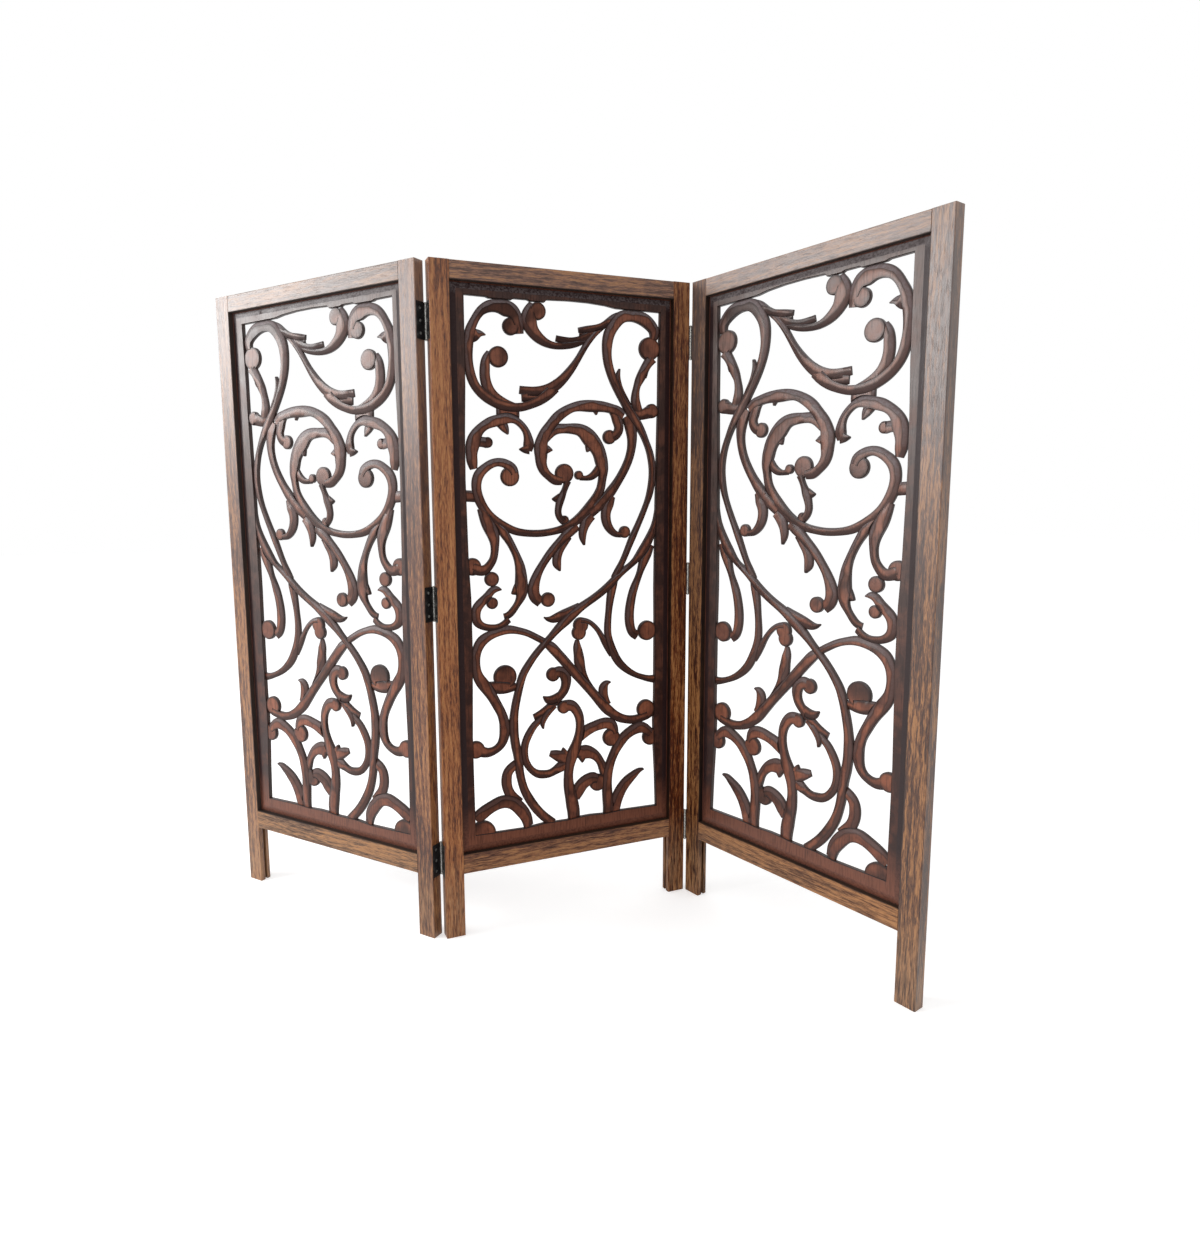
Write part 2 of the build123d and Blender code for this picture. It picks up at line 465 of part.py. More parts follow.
# ---- Frame pieces ----
def make_stile(label, base, left_edge, groove_at, seats):
    """Upright with a full-length groove in its inner edge, and a bed and pilot holes for each hinge."""
    with BuildPart() as stile:
        with BuildSketch(base) as section:
            with Locations((left_edge + stile_width / 2, frame_thickness / 2)):
                Rectangle(stile_width, frame_thickness)
            fillet(section.vertices(), arris_radius)
            with Locations((groove_at, groove_middle)):
                Rectangle(groove_depth, groove_width, mode=Mode.SUBTRACT)
        extrude(amount=panel_height)
        for seat in seats:
            with BuildSketch(leaf_plane(seat).offset(leaf_thickness)):
                add(leaf_outline(0))
            extrude(amount=-leaf_bed, mode=Mode.SUBTRACT)
            with BuildSketch(leaf_plane(seat).offset(leaf_thickness)):
                with Locations(*screw_spots):
                    Circle(screw_shank_radius)
            extrude(amount=screw_length - leaf_thickness, mode=Mode.SUBTRACT)
    stile.part.label = label
    export_step(stile.part, f"parts/{label}.step")


def make_rail(label, base, low, high, groove_low, tenon_low):
    """Cross rail with a groove for the board and a stub tenon at each end."""
    height = high - low
    start = Plane(origin=base.origin + base.x_dir * stile_width, x_dir=base.y_dir, z_dir=base.x_dir)
    finish = start.offset(opening_width)
    tenon_height = height - groove_depth
    with BuildPart() as rail:
        with BuildSketch(start) as section:
            with Locations((frame_thickness / 2, low + height / 2)):
                Rectangle(frame_thickness, height)
            fillet(section.vertices(), arris_radius)
            with Locations((groove_middle, groove_low + groove_depth / 2)):
                Rectangle(groove_width, groove_depth, mode=Mode.SUBTRACT)
        extrude(amount=opening_width)
        for shoulder, reach in ((start, -groove_depth), (finish, groove_depth)):
            with BuildSketch(shoulder):
                with Locations((groove_middle, tenon_low + tenon_height / 2)):
                    Rectangle(groove_width, tenon_height)
            extrude(amount=reach)
    rail.part.label = label
    export_step(rail.part, f"parts/{label}.step")


def make_jali(label, base, mirrored, pattern_shift):
    """Pierced board: tongue all round, bevelled front rim, flat border and scrolling strands."""
    front = base.origin + base.y_dir * jali_recess
    board_middle = Vector(panel_width / 2, opening_low + opening_height / 2)
    if mirrored:
        face = Plane(origin=front + base.x_dir * panel_width, x_dir=-base.x_dir, z_dir=base.y_dir)
        inward = 1
    else:
        face = Plane(origin=front, x_dir=base.x_dir, z_dir=-base.y_dir)
        inward = -1
    bevel_depth = groove_setback - jali_recess
    tongue_front = face.offset(inward * bevel_depth)
    with BuildPart() as board:
        with BuildSketch(tongue_front):
            with Locations(board_middle):
                Rectangle(opening_width + 2 * tongue_length, opening_height + 2 * tongue_length)
        extrude(amount=inward * (jali_thickness - bevel_depth))
        rim = 2 * bevel_start
        with BuildSketch(tongue_front):
            with Locations(board_middle):
                Rectangle(opening_width - rim, opening_height - rim)
        rim = 2 * (bevel_start + bevel_width)
        with BuildSketch(face):
            with Locations(board_middle):
                Rectangle(opening_width - rim, opening_height - rim)
        loft()
        with BuildSketch(face):
            with Locations(pattern_shift):
                add(openings)
        extrude(amount=inward * jali_thickness, mode=Mode.SUBTRACT)
    board.part.label = label
    export_step(board.part, f"parts/{label}.step")


inner_left = stile_width - groove_depth / 2
inner_right = panel_width - stile_width + groove_depth / 2
right_stile_edge = panel_width - stile_width
top_tenon_low = opening_high + groove_depth

panels = (
    ("centre", centre_base, False, centre_pattern_shift, left_fixed_seats, right_fixed_seats),
    ("left", left_base, True, left_pattern_shift, [], left_swing_seats),
    ("right", right_base, True, right_pattern_shift, right_swing_seats, []),
)
bottom_groove_low = opening_low - groove_depth
for side, base, mirrored, pattern_shift, left_seats, right_seats in panels:
    make_stile(f"{side}_panel_left_stile", base, 0, inner_left, left_seats)
    make_stile(f"{side}_panel_right_stile", base, right_stile_edge, inner_right, right_seats)
    make_rail(f"{side}_panel_top_rail", base, opening_high, panel_height, opening_high, top_tenon_low)
    make_rail(f"{side}_panel_bottom_rail", base, leg_height, opening_low, bottom_groove_low, leg_height)
    make_jali(f"{side}_panel_jali_board", base, mirrored, pattern_shift)


# ---- Hinges ----
def make_leaf(label, seat, knuckle_offsets, bore_radius):
    """Hinge leaf: plate on the stile edge, knuckles round the pin, three countersunk holes."""
    with BuildPart() as leaf:
        with BuildSketch(leaf_plane(seat)):
            add(leaf_outline(plate_start))
        extrude(amount=leaf_thickness)
        for offset in knuckle_offsets:
            with BuildSketch(seat.offset(offset)):
                Circle(knuckle_radius)
                with Locations((leaf_face + leaf_thickness / 2, plate_start / 2)):
                    Rectangle(leaf_thickness, plate_start)
                Circle(bore_radius, mode=Mode.SUBTRACT)
            extrude(amount=knuckle_length / 2, both=True)
        with BuildSketch(leaf_plane(seat)):
            with Locations(*screw_spots):
                Circle(screw_head_radius)
        extrude(amount=leaf_thickness, taper=head_taper, mode=Mode.SUBTRACT)
    leaf.part.label = label
    export_step(leaf.part, f"parts/{label}.step")


def make_pin(label, seat):
    """Hinge pin with a rounded button at each end."""
    with BuildPart() as pin:
        with BuildSketch(seat):
            Circle(pin_radius)
        extrude(amount=hinge_length / 2, both=True)
        for end in (-1, 1):
            with BuildSketch(seat.offset(end * hinge_length / 2)):
                Circle(pin_button_radius)
            extrude(amount=end * pin_button_height)
        rims = [pin.edges().sort_by(Axis.Z)[index] for index in (0, -1)]
        fillet(rims, pin_button_round)
    pin.part.label = label
    export_step(pin.part, f"parts/{label}.step")


def make_screws(label, seat):
    """Three countersunk wood screws with crossed recesses, one leaf's worth."""
    open_face = leaf_plane(seat)
    with BuildPart() as screws:
        with BuildSketch(open_face):
            with Locations(*screw_spots):
                Circle(screw_head_radius)
        extrude(amount=leaf_thickness, taper=head_taper)
        with BuildSketch(open_face.offset(leaf_thickness)):
            with Locations(*screw_spots):
                Circle(screw_shank_radius)
        extrude(amount=screw_length - leaf_thickness - screw_point_length)
        with BuildSketch(open_face.offset(screw_length - screw_point_length)):
            with Locations(*screw_spots):
                Circle(screw_shank_radius)
        extrude(amount=screw_point_length, taper=point_taper)
        with BuildSketch(open_face):
            with Locations(*screw_spots):
                Rectangle(recess_length, recess_width)
                Rectangle(recess_width, recess_length)
        extrude(amount=recess_depth, mode=Mode.SUBTRACT)
    screws.part.label = label
    export_step(screws.part, f"parts/{label}.step")


folds = (
    ("left", left_fixed_seats, left_swing_seats),
    ("right", right_fixed_seats, right_swing_seats),
)
for fold, fixed_seats, swing_seats in folds:
    for place, fixed_seat, swing_seat in zip(hinge_places, fixed_seats, swing_seats):
        name = f"{fold}_{place}_hinge"
        make_leaf(f"{name}_fixed_leaf", fixed_seat, fixed_knuckles, pin_radius)
        make_leaf(f"{name}_swing_leaf", swing_seat, swing_knuckles, pin_radius + pin_clearance)
        make_pin(f"{name}_pin", fixed_seat)
        make_screws(f"{name}_fixed_screws", fixed_seat)
        make_screws(f"{name}_swing_screws", swing_seat)
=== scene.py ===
import json
import math
from random import Random

import bmesh
import bpy
import numpy as np
from mathutils import Matrix, Vector


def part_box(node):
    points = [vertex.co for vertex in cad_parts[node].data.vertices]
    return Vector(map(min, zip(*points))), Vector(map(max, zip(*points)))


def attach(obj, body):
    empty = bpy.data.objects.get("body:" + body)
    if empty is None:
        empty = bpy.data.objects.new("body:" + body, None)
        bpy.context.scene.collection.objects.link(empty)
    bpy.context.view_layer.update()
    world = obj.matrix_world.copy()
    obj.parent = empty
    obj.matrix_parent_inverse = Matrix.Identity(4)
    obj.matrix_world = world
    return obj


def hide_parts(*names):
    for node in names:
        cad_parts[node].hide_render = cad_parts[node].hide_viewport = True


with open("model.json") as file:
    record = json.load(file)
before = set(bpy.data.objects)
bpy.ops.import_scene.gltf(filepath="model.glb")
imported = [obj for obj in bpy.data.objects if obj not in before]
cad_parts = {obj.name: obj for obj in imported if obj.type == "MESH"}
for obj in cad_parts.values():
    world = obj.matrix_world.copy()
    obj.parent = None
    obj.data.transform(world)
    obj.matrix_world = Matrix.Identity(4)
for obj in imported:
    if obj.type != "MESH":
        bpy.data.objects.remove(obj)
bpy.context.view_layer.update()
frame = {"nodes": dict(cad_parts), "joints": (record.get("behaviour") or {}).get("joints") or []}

MM = 0.001

# ---- Folds, as in the model ----
left_fold_angle = math.radians(52.0)
right_fold_angle = math.radians(76.4)
fold_gap = 1.5 * MM

# ---- Panel sizes, read from the centre panel's own pieces ----
stile_low, stile_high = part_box("centre_panel_left_stile")
far_stile_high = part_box("centre_panel_right_stile")[1]
top_rail_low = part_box("centre_panel_top_rail")[0]
bottom_rail_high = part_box("centre_panel_bottom_rail")[1]
board_low, board_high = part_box("centre_panel_jali_board")
panel_corner = stile_low.copy()
panel_width = far_stile_high.x - stile_low.x
stile_width = stile_high.x - stile_low.x
opening_low = bottom_rail_high.z
opening_high = top_rail_low.z
opening_width = panel_width - 2 * stile_width
opening_height = opening_high - opening_low
# the board in mm, as the carving is; its front and back are depths behind the panel's front
board_front = (board_low.y - panel_corner.y) / MM
board_back = (board_high.y - panel_corner.y) / MM
tongue_length = (board_high.z - opening_high) / MM

# ---- Strands (mm; tops are depths behind the panel's front) ----
strand_gain = 0.7
layer_tops = (9.9, 9.4, 8.9, 8.4)
crown = 0.35
wide_chamfer = 7.4
narrow_chamfer = 0.35
widest_chamfer_share = 0.47
wide_depth = 3.2
narrow_depth = 0.6
full_bend_radius = 110.0
bend_reach = 4
bend_window = 5
steps_between_stations = 4
slow_waver = 0.12
slow_waver_length = 9
quick_waver = 0.08
quick_waver_length = 3.7
end_chamfer = 1.3
end_chamfers_in_strand = 4
dive_length = 20.0
dives_in_strand = 3
dive_depth = 2.2
pointed_half_width = 1.0
moat_width = 0.8
least_moat_share = 0.05
moat_drop_limit = 0.6
clear_front = 1.5

# ---- Lobes (mm) ----
lobe_top = 9.5
lobe_chamfer = 1.4
lobe_crown_share = 0.7
lobe_cap_share = 0.25
lobe_sides = 44

# ---- Border and its bevelled rim (mm) ----
border_chamfer = 1.0
border_moat_depth = 1.4
bevel_start = 2.0
bevel_width = 9.0
tongue_step = 2.0
hole_overshoot = 1.0
arris_width = 1.2
arris_drop = 0.15
arris_unevenness = 0.35
arris_inner_unevenness = 0.25
top_unevenness_share = 2.2
corner_fade = 12
upright_rim_points = 180
level_rim_points = 80

# ---- Mending the carved mesh ----
weld_distance = 0.01 * MM
sliver_length = 0.005 * MM
sharp_angle = math.radians(32)

# How far the pattern sits off its place on each board (mm, before mirroring)
pattern_shifts = {"centre": (0.0, 0.0), "left": (-5.0, 0.5), "right": (1.0, 3.0)}

# The jali pattern is a full-size cartoon, measured from the panel's left edge (u) and from
# the floor (v), and drawn for an opening of this size.
cartoon_left = 35.0
cartoon_low = 161.0
cartoon_width = 438.0
cartoon_height = 1025.0

STRANDS = {
    # great C scroll in the upper left corner
    "great_c": (
        (166, 1106, 7), (164.5, 1119, 8.5), (161, 1131, 10), (153, 1143, 12), (142, 1147.5, 13.5),
        (127, 1150.5, 11.2), (109, 1149, 9.5), (93, 1139.5, 7.5), (81, 1123, 6.8), (73, 1106, 8),
        (70, 1088, 8), (68.5, 1070, 7.5), (69, 1050, 7.2), (71.5, 1035, 7.5), (77, 1019, 7.3),
        (87, 1004.5, 7), (101, 993, 7.3), (117, 984.5, 7.3), (134, 979, 7.5), (150, 977.5, 7),
        (167, 978.5, 7), (185, 983.5, 7), (203, 991.5, 8), (220, 1004, 9.5), (234, 1016, 9.5)),
    "inner_c": (
        (108, 1072, 4), (102, 1062, 6), (99, 1046, 8), (98.5, 1032, 8.3), (100.5, 1019, 8.5),
        (106, 1006, 8.5), (116, 995, 8), (130, 987, 7), (146, 982, 5), (162, 980, 3)),
    "c_barb": ((101.5, 1100.5, 0.5), (93, 1102, 4.5), (84, 1099.5, 9.5), (73, 1098, 12)),
    "leaf_a": (
        (346, 1143, 4), (335, 1133, 4.5), (323.5, 1124, 5), (313.5, 1115.5, 5), (305.5, 1106.5, 5),
        (296.5, 1094.5, 4.8), (287.5, 1080.5, 4.8), (278.5, 1066.5, 5.2), (269.5, 1054, 6.2),
        (259.5, 1042, 7.2), (247.5, 1029.5, 8.3), (231, 1017, 9.3), (210, 1009.5, 8.2),
        (190, 1007, 7.3), (175, 1007.5, 7), (164, 1009, 6.4)),
    "leaf_b": ((168, 995, 6), (190, 996, 9), (206, 1001, 10), (223, 1010, 10), (238, 1022, 9)),
    # leaves along the top
    "sprig": (
        (190, 1160, 5), (182.5, 1145, 9.5), (183, 1129, 13.5), (189, 1114.5, 11), (202, 1101, 8.5),
        (216, 1093, 6.3), (232, 1089, 5), (248, 1089, 4.8), (264, 1091, 4.6), (280, 1095, 4),
        (294, 1100, 2.5)),
    "sprig_leaf": (
        (236, 1102.5, 4.8), (250, 1099.5, 5.5), (266, 1098.5, 6), (282, 1102, 6), (298, 1109, 6),
        (312, 1117, 5)),
    "top_leaf": (
        (281, 1119.5, 4), (300, 1122, 5.5), (318, 1126, 5), (336, 1134, 5.5), (353, 1145.5, 6.5),
        (368, 1152, 6)),
    "top_leaf_low": ((283, 1112, 2.4), (296, 1111, 3), (310, 1115, 4), (324, 1125, 4.5)),
    # long S from the upper right corner down to the right border
    "long_s": (
        (437, 1111, 7), (439, 1125, 9.5), (430, 1138, 11), (415, 1147.5, 11.5), (392, 1151.5, 9.5),
        (370, 1148.5, 10.5), (354, 1134, 10), (343, 1116, 9.6), (339, 1098, 8.8), (338.5, 1080, 7.6),
        (340.5, 1065, 7.2), (345, 1050, 7), (351.5, 1035, 7.2), (358, 1021, 6.5), (366, 1007, 6.2),
        (375, 993, 6.4), (385, 978, 7.5), (396, 964, 8.5), (406, 951, 7.5), (415.5, 936, 6.2),
        (422.5, 921, 5.3), (429.5, 905, 5.8), (434, 889, 6.2), (436.5, 872, 6.2), (436.5, 855, 6),
        (434.5, 838, 6), (430.5, 820, 5.6), (424, 803, 4.6), (417, 787, 4.6), (410, 772, 4.8),
        (402.5, 757, 5), (394, 740, 5.6), (386, 723, 5.2), (378.5, 706, 5), (370.5, 690, 5),
        (361.5, 675, 5.5), (354, 661, 6)),
    "s_barb": (
        (365, 1054.5, 0.5), (361.5, 1043, 3.3), (362.5, 1029, 4.5), (368, 1014, 4.8),
        (376, 1001, 4.8), (387, 987, 4.5)),
    "s_tail": (
        (357, 664, 6.3), (351.5, 648, 7.2), (347, 630, 7.1), (344, 612, 6.2), (342, 595, 5.6),
        (340.3, 578, 5.8), (339.5, 562, 6), (341, 547, 6.2), (346, 531.7, 6.6), (351.7, 516.5, 7.2),
        (358.5, 503, 7.2), (369.5, 489, 6.8), (383, 477.5, 5.9), (394.5, 470, 5.3), (407, 464, 5),
        (418, 460, 5.2), (429, 456.5, 5.8), (444, 454, 7.5)),
    "right_hook": (
        (434, 1077, 10), (420.5, 1060, 7.8), (414, 1047, 8.5), (406, 1033, 7), (402.5, 1025, 5.6),
        (399.5, 1013, 6), (398.5, 1000, 7.5), (401, 987, 8.5), (408, 974, 8)),
    "right_notch": ((420.5, 1039, 2), (417, 1048, 7), (421, 1060, 7)),
    "right_stub": ((398, 970, 8), (412, 971, 8.5), (424, 975, 10.5), (434, 979, 12)),
    # arch and loop of the middle
    "outer_arch": (
        (374, 969, 9), (362, 977, 8.5), (350, 980.5, 8.3), (335, 983.5, 8.8), (318, 984.5, 9.8),
        (300, 984.5, 10.2), (283, 984, 9), (266, 980, 7.8), (250, 972, 8.4), (236, 961.5, 8.8),
        (224, 948, 8.8), (213.5, 935, 9.3), (206.5, 921.5, 10.2), (203.5, 907, 12), (204, 893, 11),
        (204.5, 878, 9), (210, 865, 7.6), (220, 855, 6.6), (232, 848, 7.6), (246, 846, 6)),
    "arch_barb": ((317, 968.5, 0.5), (316, 976, 5), (311, 984, 8)),
    "arch_drop": (
        (346, 982, 6), (356, 972, 9), (362, 957, 9.6), (364, 943, 8.6), (357, 932, 8.2), (346, 928, 9)),
    "loop": (
        (207, 918, 8), (217.5, 929.5, 8.2), (229, 938.5, 8.6), (241, 942, 8.5), (254, 942.5, 8.2),
        (268, 942.5, 9.2), (284, 940, 11), (298, 930.5, 14.5), (312, 916, 14.5), (323, 898.5, 12.8),
        (328, 880, 12), (331, 866, 9.4), (329, 850, 7.6), (326, 834, 7.8), (317, 817, 8.2),
        (304, 801, 8.7), (289, 785, 8.6), (273, 772.3, 7.8), (256, 763, 6.8), (240, 757, 6.3),
        (222, 753.5, 6), (205, 751.5, 6), (190, 751.3, 6), (172, 752.5, 6), (150, 757, 6.4),
        (127, 768.5, 6.4), (106, 782.5, 7), (93, 797, 7.4), (84, 813, 8), (79.2, 830, 7.8),
        (79.2, 846, 8.2), (86, 861.5, 8.2), (97.5, 871.5, 7.2), (110, 878.5, 7), (124, 880.5, 7),
        (138, 876.5, 7.7), (149, 868, 8), (153, 858, 7)),
    "loop_barb": ((297.3, 900.3, 0.5), (301, 909, 7), (308, 922, 12)),
    "loop_barb_left": ((227, 903.2, 0.5), (219, 904.5, 6), (208, 903, 10)),
    "loop_tail": ((283, 853, 4.5), (294, 852, 4), (304, 854, 5.6), (315, 861.5, 7), (324, 872, 8)),
    "cross_down": (
        (380, 968, 8.5), (387.5, 953, 11), (391, 940, 10.5), (392.5, 927, 9.2), (391.5, 911, 8),
        (388, 895, 7.6), (380.5, 876.5, 7.4), (369.5, 857.5, 7.4), (358.5, 841.5, 7.8), (347, 827, 9),
        (333, 811, 9), (318, 798, 9), (303, 786, 9)),
    "small_hook": (
        (350, 818, 6), (340.5, 801, 9.3), (336, 788, 8.7), (336, 775, 8.3), (340, 762.5, 7.5),
        (347.5, 752.5, 6.2), (358, 745.5, 5), (370, 744.5, 5)),
    "drop_leaf": ((290.3, 726.5, 0.5), (287, 740, 5.2), (288, 755, 7.3), (294, 770, 9), (305, 783, 10)),
    # leaf hanging in the loop
    "pendant": (
        (257, 847, 6.5), (253, 836, 4.8), (248, 825, 5.2), (242, 813, 6.6), (238.5, 801, 5.6),
        (237, 790, 5.2), (240.5, 779, 5), (248.5, 770.5, 5)),
    "pendant_barb": ((225.5, 814, 0.5), (233, 813.5, 5.5), (242, 817, 7)),
    # arch under the great C
    "left_arch": (
        (75, 868, 6), (72, 881, 8.8), (71, 895, 9.6), (73, 909, 11.5), (77, 922, 11), (85, 935, 8.6),
        (97, 945, 8), (110, 951, 9.3), (125, 955, 9.3), (140, 958, 8.5), (154, 956, 6.2),
        (166, 948, 5.6), (175, 937, 5.9), (179.5, 924, 7.6), (180.5, 911, 9.6), (179, 901, 7.5)),
    "left_arch_tip": ((162, 904, 0.5), (170, 903.5, 5), (181, 905, 9.5)),
    "left_arch_barb": ((141, 930, 0.8), (136, 939, 6.5), (128, 950, 9.5)),
    "left_stub": ((78, 916, 9), (90, 916, 8.3), (100, 914.5, 8.8)),
    "arch_tie": ((141, 976, 21), (141, 955, 21)),
    "border_tie": ((50, 821.5, 9.5), (76, 820, 9.5)),
    # strands below the loop, at the left
    "fork_left": (
        (86, 799, 6), (92, 784, 8.5), (100, 768, 11), (108.5, 752, 11), (111.5, 735, 7.8),
        (111, 720, 6.4), (108, 707, 6.4), (101, 696, 7), (91, 687.5, 8.5), (78, 688, 9), (66, 692, 9)),
    "fork_right": (
        (111, 777, 5), (121, 765, 6.5), (129, 754, 7.6), (138, 741, 6.8), (146, 727, 6.2),
        (153.5, 711, 6.5), (159, 695, 8.3), (161.3, 680, 10), (161.8, 665, 11.3), (162, 650, 12),
        (161, 636, 9), (154, 622.5, 5.8), (145, 610.5, 5.8), (133.5, 601, 5.8), (127, 599.5, 5.5)),
    "fork_barb": ((142.5, 641.2, 0.5), (149, 645, 6.5), (158, 653, 11)),
    "beak": (
        (122.8, 650.6, 0.5), (114, 652.5, 4.5), (106, 650.5, 5.8), (96, 640.5, 6.5), (84, 629.5, 7.3),
        (74.5, 618, 8), (72, 605.5, 7.8), (75.5, 592.5, 7.4), (87.5, 584, 6), (101, 581, 5.6),
        (115, 581.5, 5.2), (128, 587, 5.6), (137, 594, 6)),
    "leaf_stem": (
        (276, 764, 9), (266, 757, 9), (254, 747.5, 8.3), (242, 736.5, 7), (230, 724.5, 6.8),
        (218, 711, 6.6), (207, 696.5, 6.3), (196.5, 680.5, 7), (189, 664, 8.8), (185.5, 648, 10.3),
        (189.5, 632, 10), (201, 623, 10)),
    "stem_leaf": (
        (240, 679.5, 0.5), (234, 692, 7), (234, 705, 7.6), (238, 718, 7.8), (246, 731, 8),
        (258, 745, 8)),
    # long diagonal from the right border down to the foot
    "diagonal": (
        (448.5, 802, 3), (446, 782, 4), (442.5, 764, 5), (435, 744, 7), (423.5, 723, 8.5),
        (410, 705, 7.5), (396, 690, 5.3), (382.5, 680.5, 5), (367.5, 670.5, 5.6), (353, 657, 6.2),
        (337, 643, 6.5), (321, 631.5, 6.4), (301, 619.5, 6.3), (282, 608.5, 7), (266, 596.5, 8),
        (252, 585, 8.2), (237, 573, 6.8), (221.5, 557.7, 5.4), (207, 544, 5.3), (195.5, 532.7, 5.3),
        (184.7, 520.7, 5.4), (174, 506.7, 5.8), (164, 492, 6), (157.3, 475.5, 6.4), (153.5, 460, 6.4),
        (149.5, 445, 6.6), (146, 430, 6.7), (143.5, 415, 7), (142, 400, 7.8), (142, 385, 8),
        (143.5, 366, 7.7), (146, 350, 8), (149, 335, 7.8), (151, 320, 7.8), (152, 305, 7.3),
        (154.5, 290, 7), (158, 275, 7), (163, 260.5, 7.4), (170.5, 246, 8), (180, 230.5, 8.2),
        (193, 213.5, 8.3), (207, 199.5, 8.3), (220, 188, 8.5)),
    "diagonal_leaf": (
        (206.5, 593.7, 0.5), (214, 590, 3.5), (228, 590, 7.5), (246, 597, 8), (263, 604.5, 6.5),
        (280, 612, 5)),
    "right_drop": (
        (432, 724, 10), (424, 705, 10), (417.5, 690, 8.4), (412.8, 677, 6.4), (408.3, 664, 5.7),
        (402.8, 652, 6.1), (397.3, 640, 6.7), (393.4, 628, 7.3), (389.9, 612, 7.9), (387.4, 596, 8.1),
        (386.9, 580, 8.2), (388.9, 564.5, 8), (395, 551.5, 8), (406, 546, 10)),
    # arches of the lower left
    "lower_arch": (
        (210, 545, 5.5), (203, 549.5, 5.8), (190, 557, 5.8), (174, 565.5, 5.8), (155, 572, 6),
        (135, 575.5, 7.2), (115, 572.5, 7), (98, 567, 7.6), (83.5, 558, 8.8), (74.2, 544.5, 8.3),
        (70, 528, 7.8), (70, 512, 7.6), (72.5, 497, 8.6), (82.3, 479, 10.6), (93.3, 464, 10.2),
        (102.5, 449, 9), (111, 433, 8.5), (119, 417, 8.4), (123.5, 401, 9), (124.5, 385, 9.5),
        (122, 369, 8.6), (115, 356.5, 7.3), (103, 348.5, 7), (90, 346, 8.3), (77, 350, 10)),
    "arch_tongue": ((92, 472, 8), (110, 468, 11), (130, 466, 10), (150, 466, 6)),
    "steep": (
        (206, 548, 5.5), (220.5, 536.5, 9), (233.3, 522.7, 9), (246, 508.5, 9), (257, 495.5, 8.8),
        (268, 483, 8.6), (279, 471, 8.4), (291, 457.5, 8.3), (303, 444, 8.3), (315, 430, 8.7),
        (326.5, 415.7, 9), (338, 403.5, 9.6), (351, 392.5, 8.7), (366, 383, 8.5), (380, 378, 7.7),
        (395, 375.5, 7.9), (412, 377, 7.6), (428, 381, 7.5), (443, 387, 7)),
    "steep_leaf": (
        (275, 546, 3), (274.5, 533, 6.8), (277.5, 517, 9), (279, 502, 9.8), (283, 487, 7.8),
        (289.5, 470, 6.5), (298, 455, 6.3), (308, 442, 6.5)),
    "horn": (
        (346, 457.5, 0.5), (338.5, 456.5, 3.8), (330.5, 447, 8.2), (330, 435, 8.4), (332.5, 423, 8.6),
        (338, 411, 9)),
    "bud_stem": (
        (278, 584, 4.5), (292, 582.5, 4), (304, 576.5, 4), (315, 566.5, 4.2), (324, 554.5, 4.6),
        (331, 541.5, 5.2), (340, 526, 5.8), (350, 511, 6)),
    # curl and ring round the trunk
    "curl": (
        (226, 485.5, 8.5), (236.5, 487.5, 9.5), (246, 482, 9.8), (251, 471.5, 10), (250.5, 460, 9),
        (246, 448.5, 8.3), (237.5, 438.5, 7.8), (226, 428, 7.5), (210, 415.5, 7), (196, 407.5, 6.5),
        (183.5, 402.8, 5.5)),
    "curl_leaf": ((203.5, 441.5, 0.8), (212, 434.5, 6.5), (226, 434.5, 8), (240, 441, 7.5)),
    "curl_tip": ((202, 379, 0.5), (200.5, 389, 3.5), (204.5, 400, 4.8), (213.5, 411.5, 5), (227, 422, 5)),
    "ring": (
        (204, 404, 4.5), (194.3, 396, 5.1), (184.5, 388, 5.5), (176.3, 377.5, 6), (168.8, 364.5, 6.3),
        (163.8, 350, 6.3), (162.8, 335, 6.3), (165.3, 320.5, 6.1), (171.2, 308.5, 6), (180, 298, 6.2),
        (190, 291.3, 7), (202, 288.5, 7.4), (214, 288.5, 7), (226, 292.8, 7.6), (239, 300, 9.5),
        (252, 304, 9.5)),
    "ring_leaf": ((216, 328, 5), (226, 324.5, 8.5), (238, 319, 11), (252, 313, 12)),
    "ring_barb": ((244, 336.3, 0.5), (245, 328, 6), (247, 320, 9)),
    "trunk": (
        (246, 418, 11), (261, 418.5, 10), (271, 409.5, 9.2), (277.5, 397, 8.5), (280, 383, 8),
        (279.5, 368, 8), (276, 352, 8.6), (270.5, 337, 9.8), (263, 321.5, 11), (257.5, 305, 9.5),
        (254.5, 287, 8.3), (254, 269, 8.8), (256, 252, 10.3), (259.5, 235, 11.3), (262.5, 218, 12.2),
        (265, 203, 12.2), (266, 188, 12.2)),
    "trunk_arm": (
        (274, 349, 8.5), (284, 359, 10), (296, 366.3, 10), (310, 371.3, 9.3), (324, 374.5, 9.8),
        (338, 375, 10.2), (349, 370, 10), (355.5, 361, 7), (358, 350, 5)),
    "trunk_arch": (
        (264, 324, 10), (276, 323, 11), (289, 322.5, 12.8), (302, 319.5, 11), (314, 311, 9),
        (323.5, 298.5, 7.7), (329.5, 284, 8.6), (334, 268, 8)),
    "trunk_barb": ((284, 301.5, 0.5), (284, 310, 6.5), (284, 320, 10)),
    "foot_arch": (
        (267, 232, 11), (275.5, 247.5, 12), (286, 259.5, 11.5), (298, 266, 10.8), (309.5, 268.3, 9),
        (319, 264, 7)),
    "stalk": (
        (340.5, 188, 10.3), (340.5, 203, 10.1), (339.5, 217, 9.9), (338.5, 232, 9.8), (337.5, 250, 9.3),
        (338, 266, 9.2), (340.5, 280, 8.9), (344.5, 292, 8.3), (349.5, 304, 7.9), (356.5, 318, 8.2),
        (366, 332, 9), (378, 344.5, 9), (391, 352.5, 9.2), (404, 357.5, 10.3), (417, 357.5, 10.3),
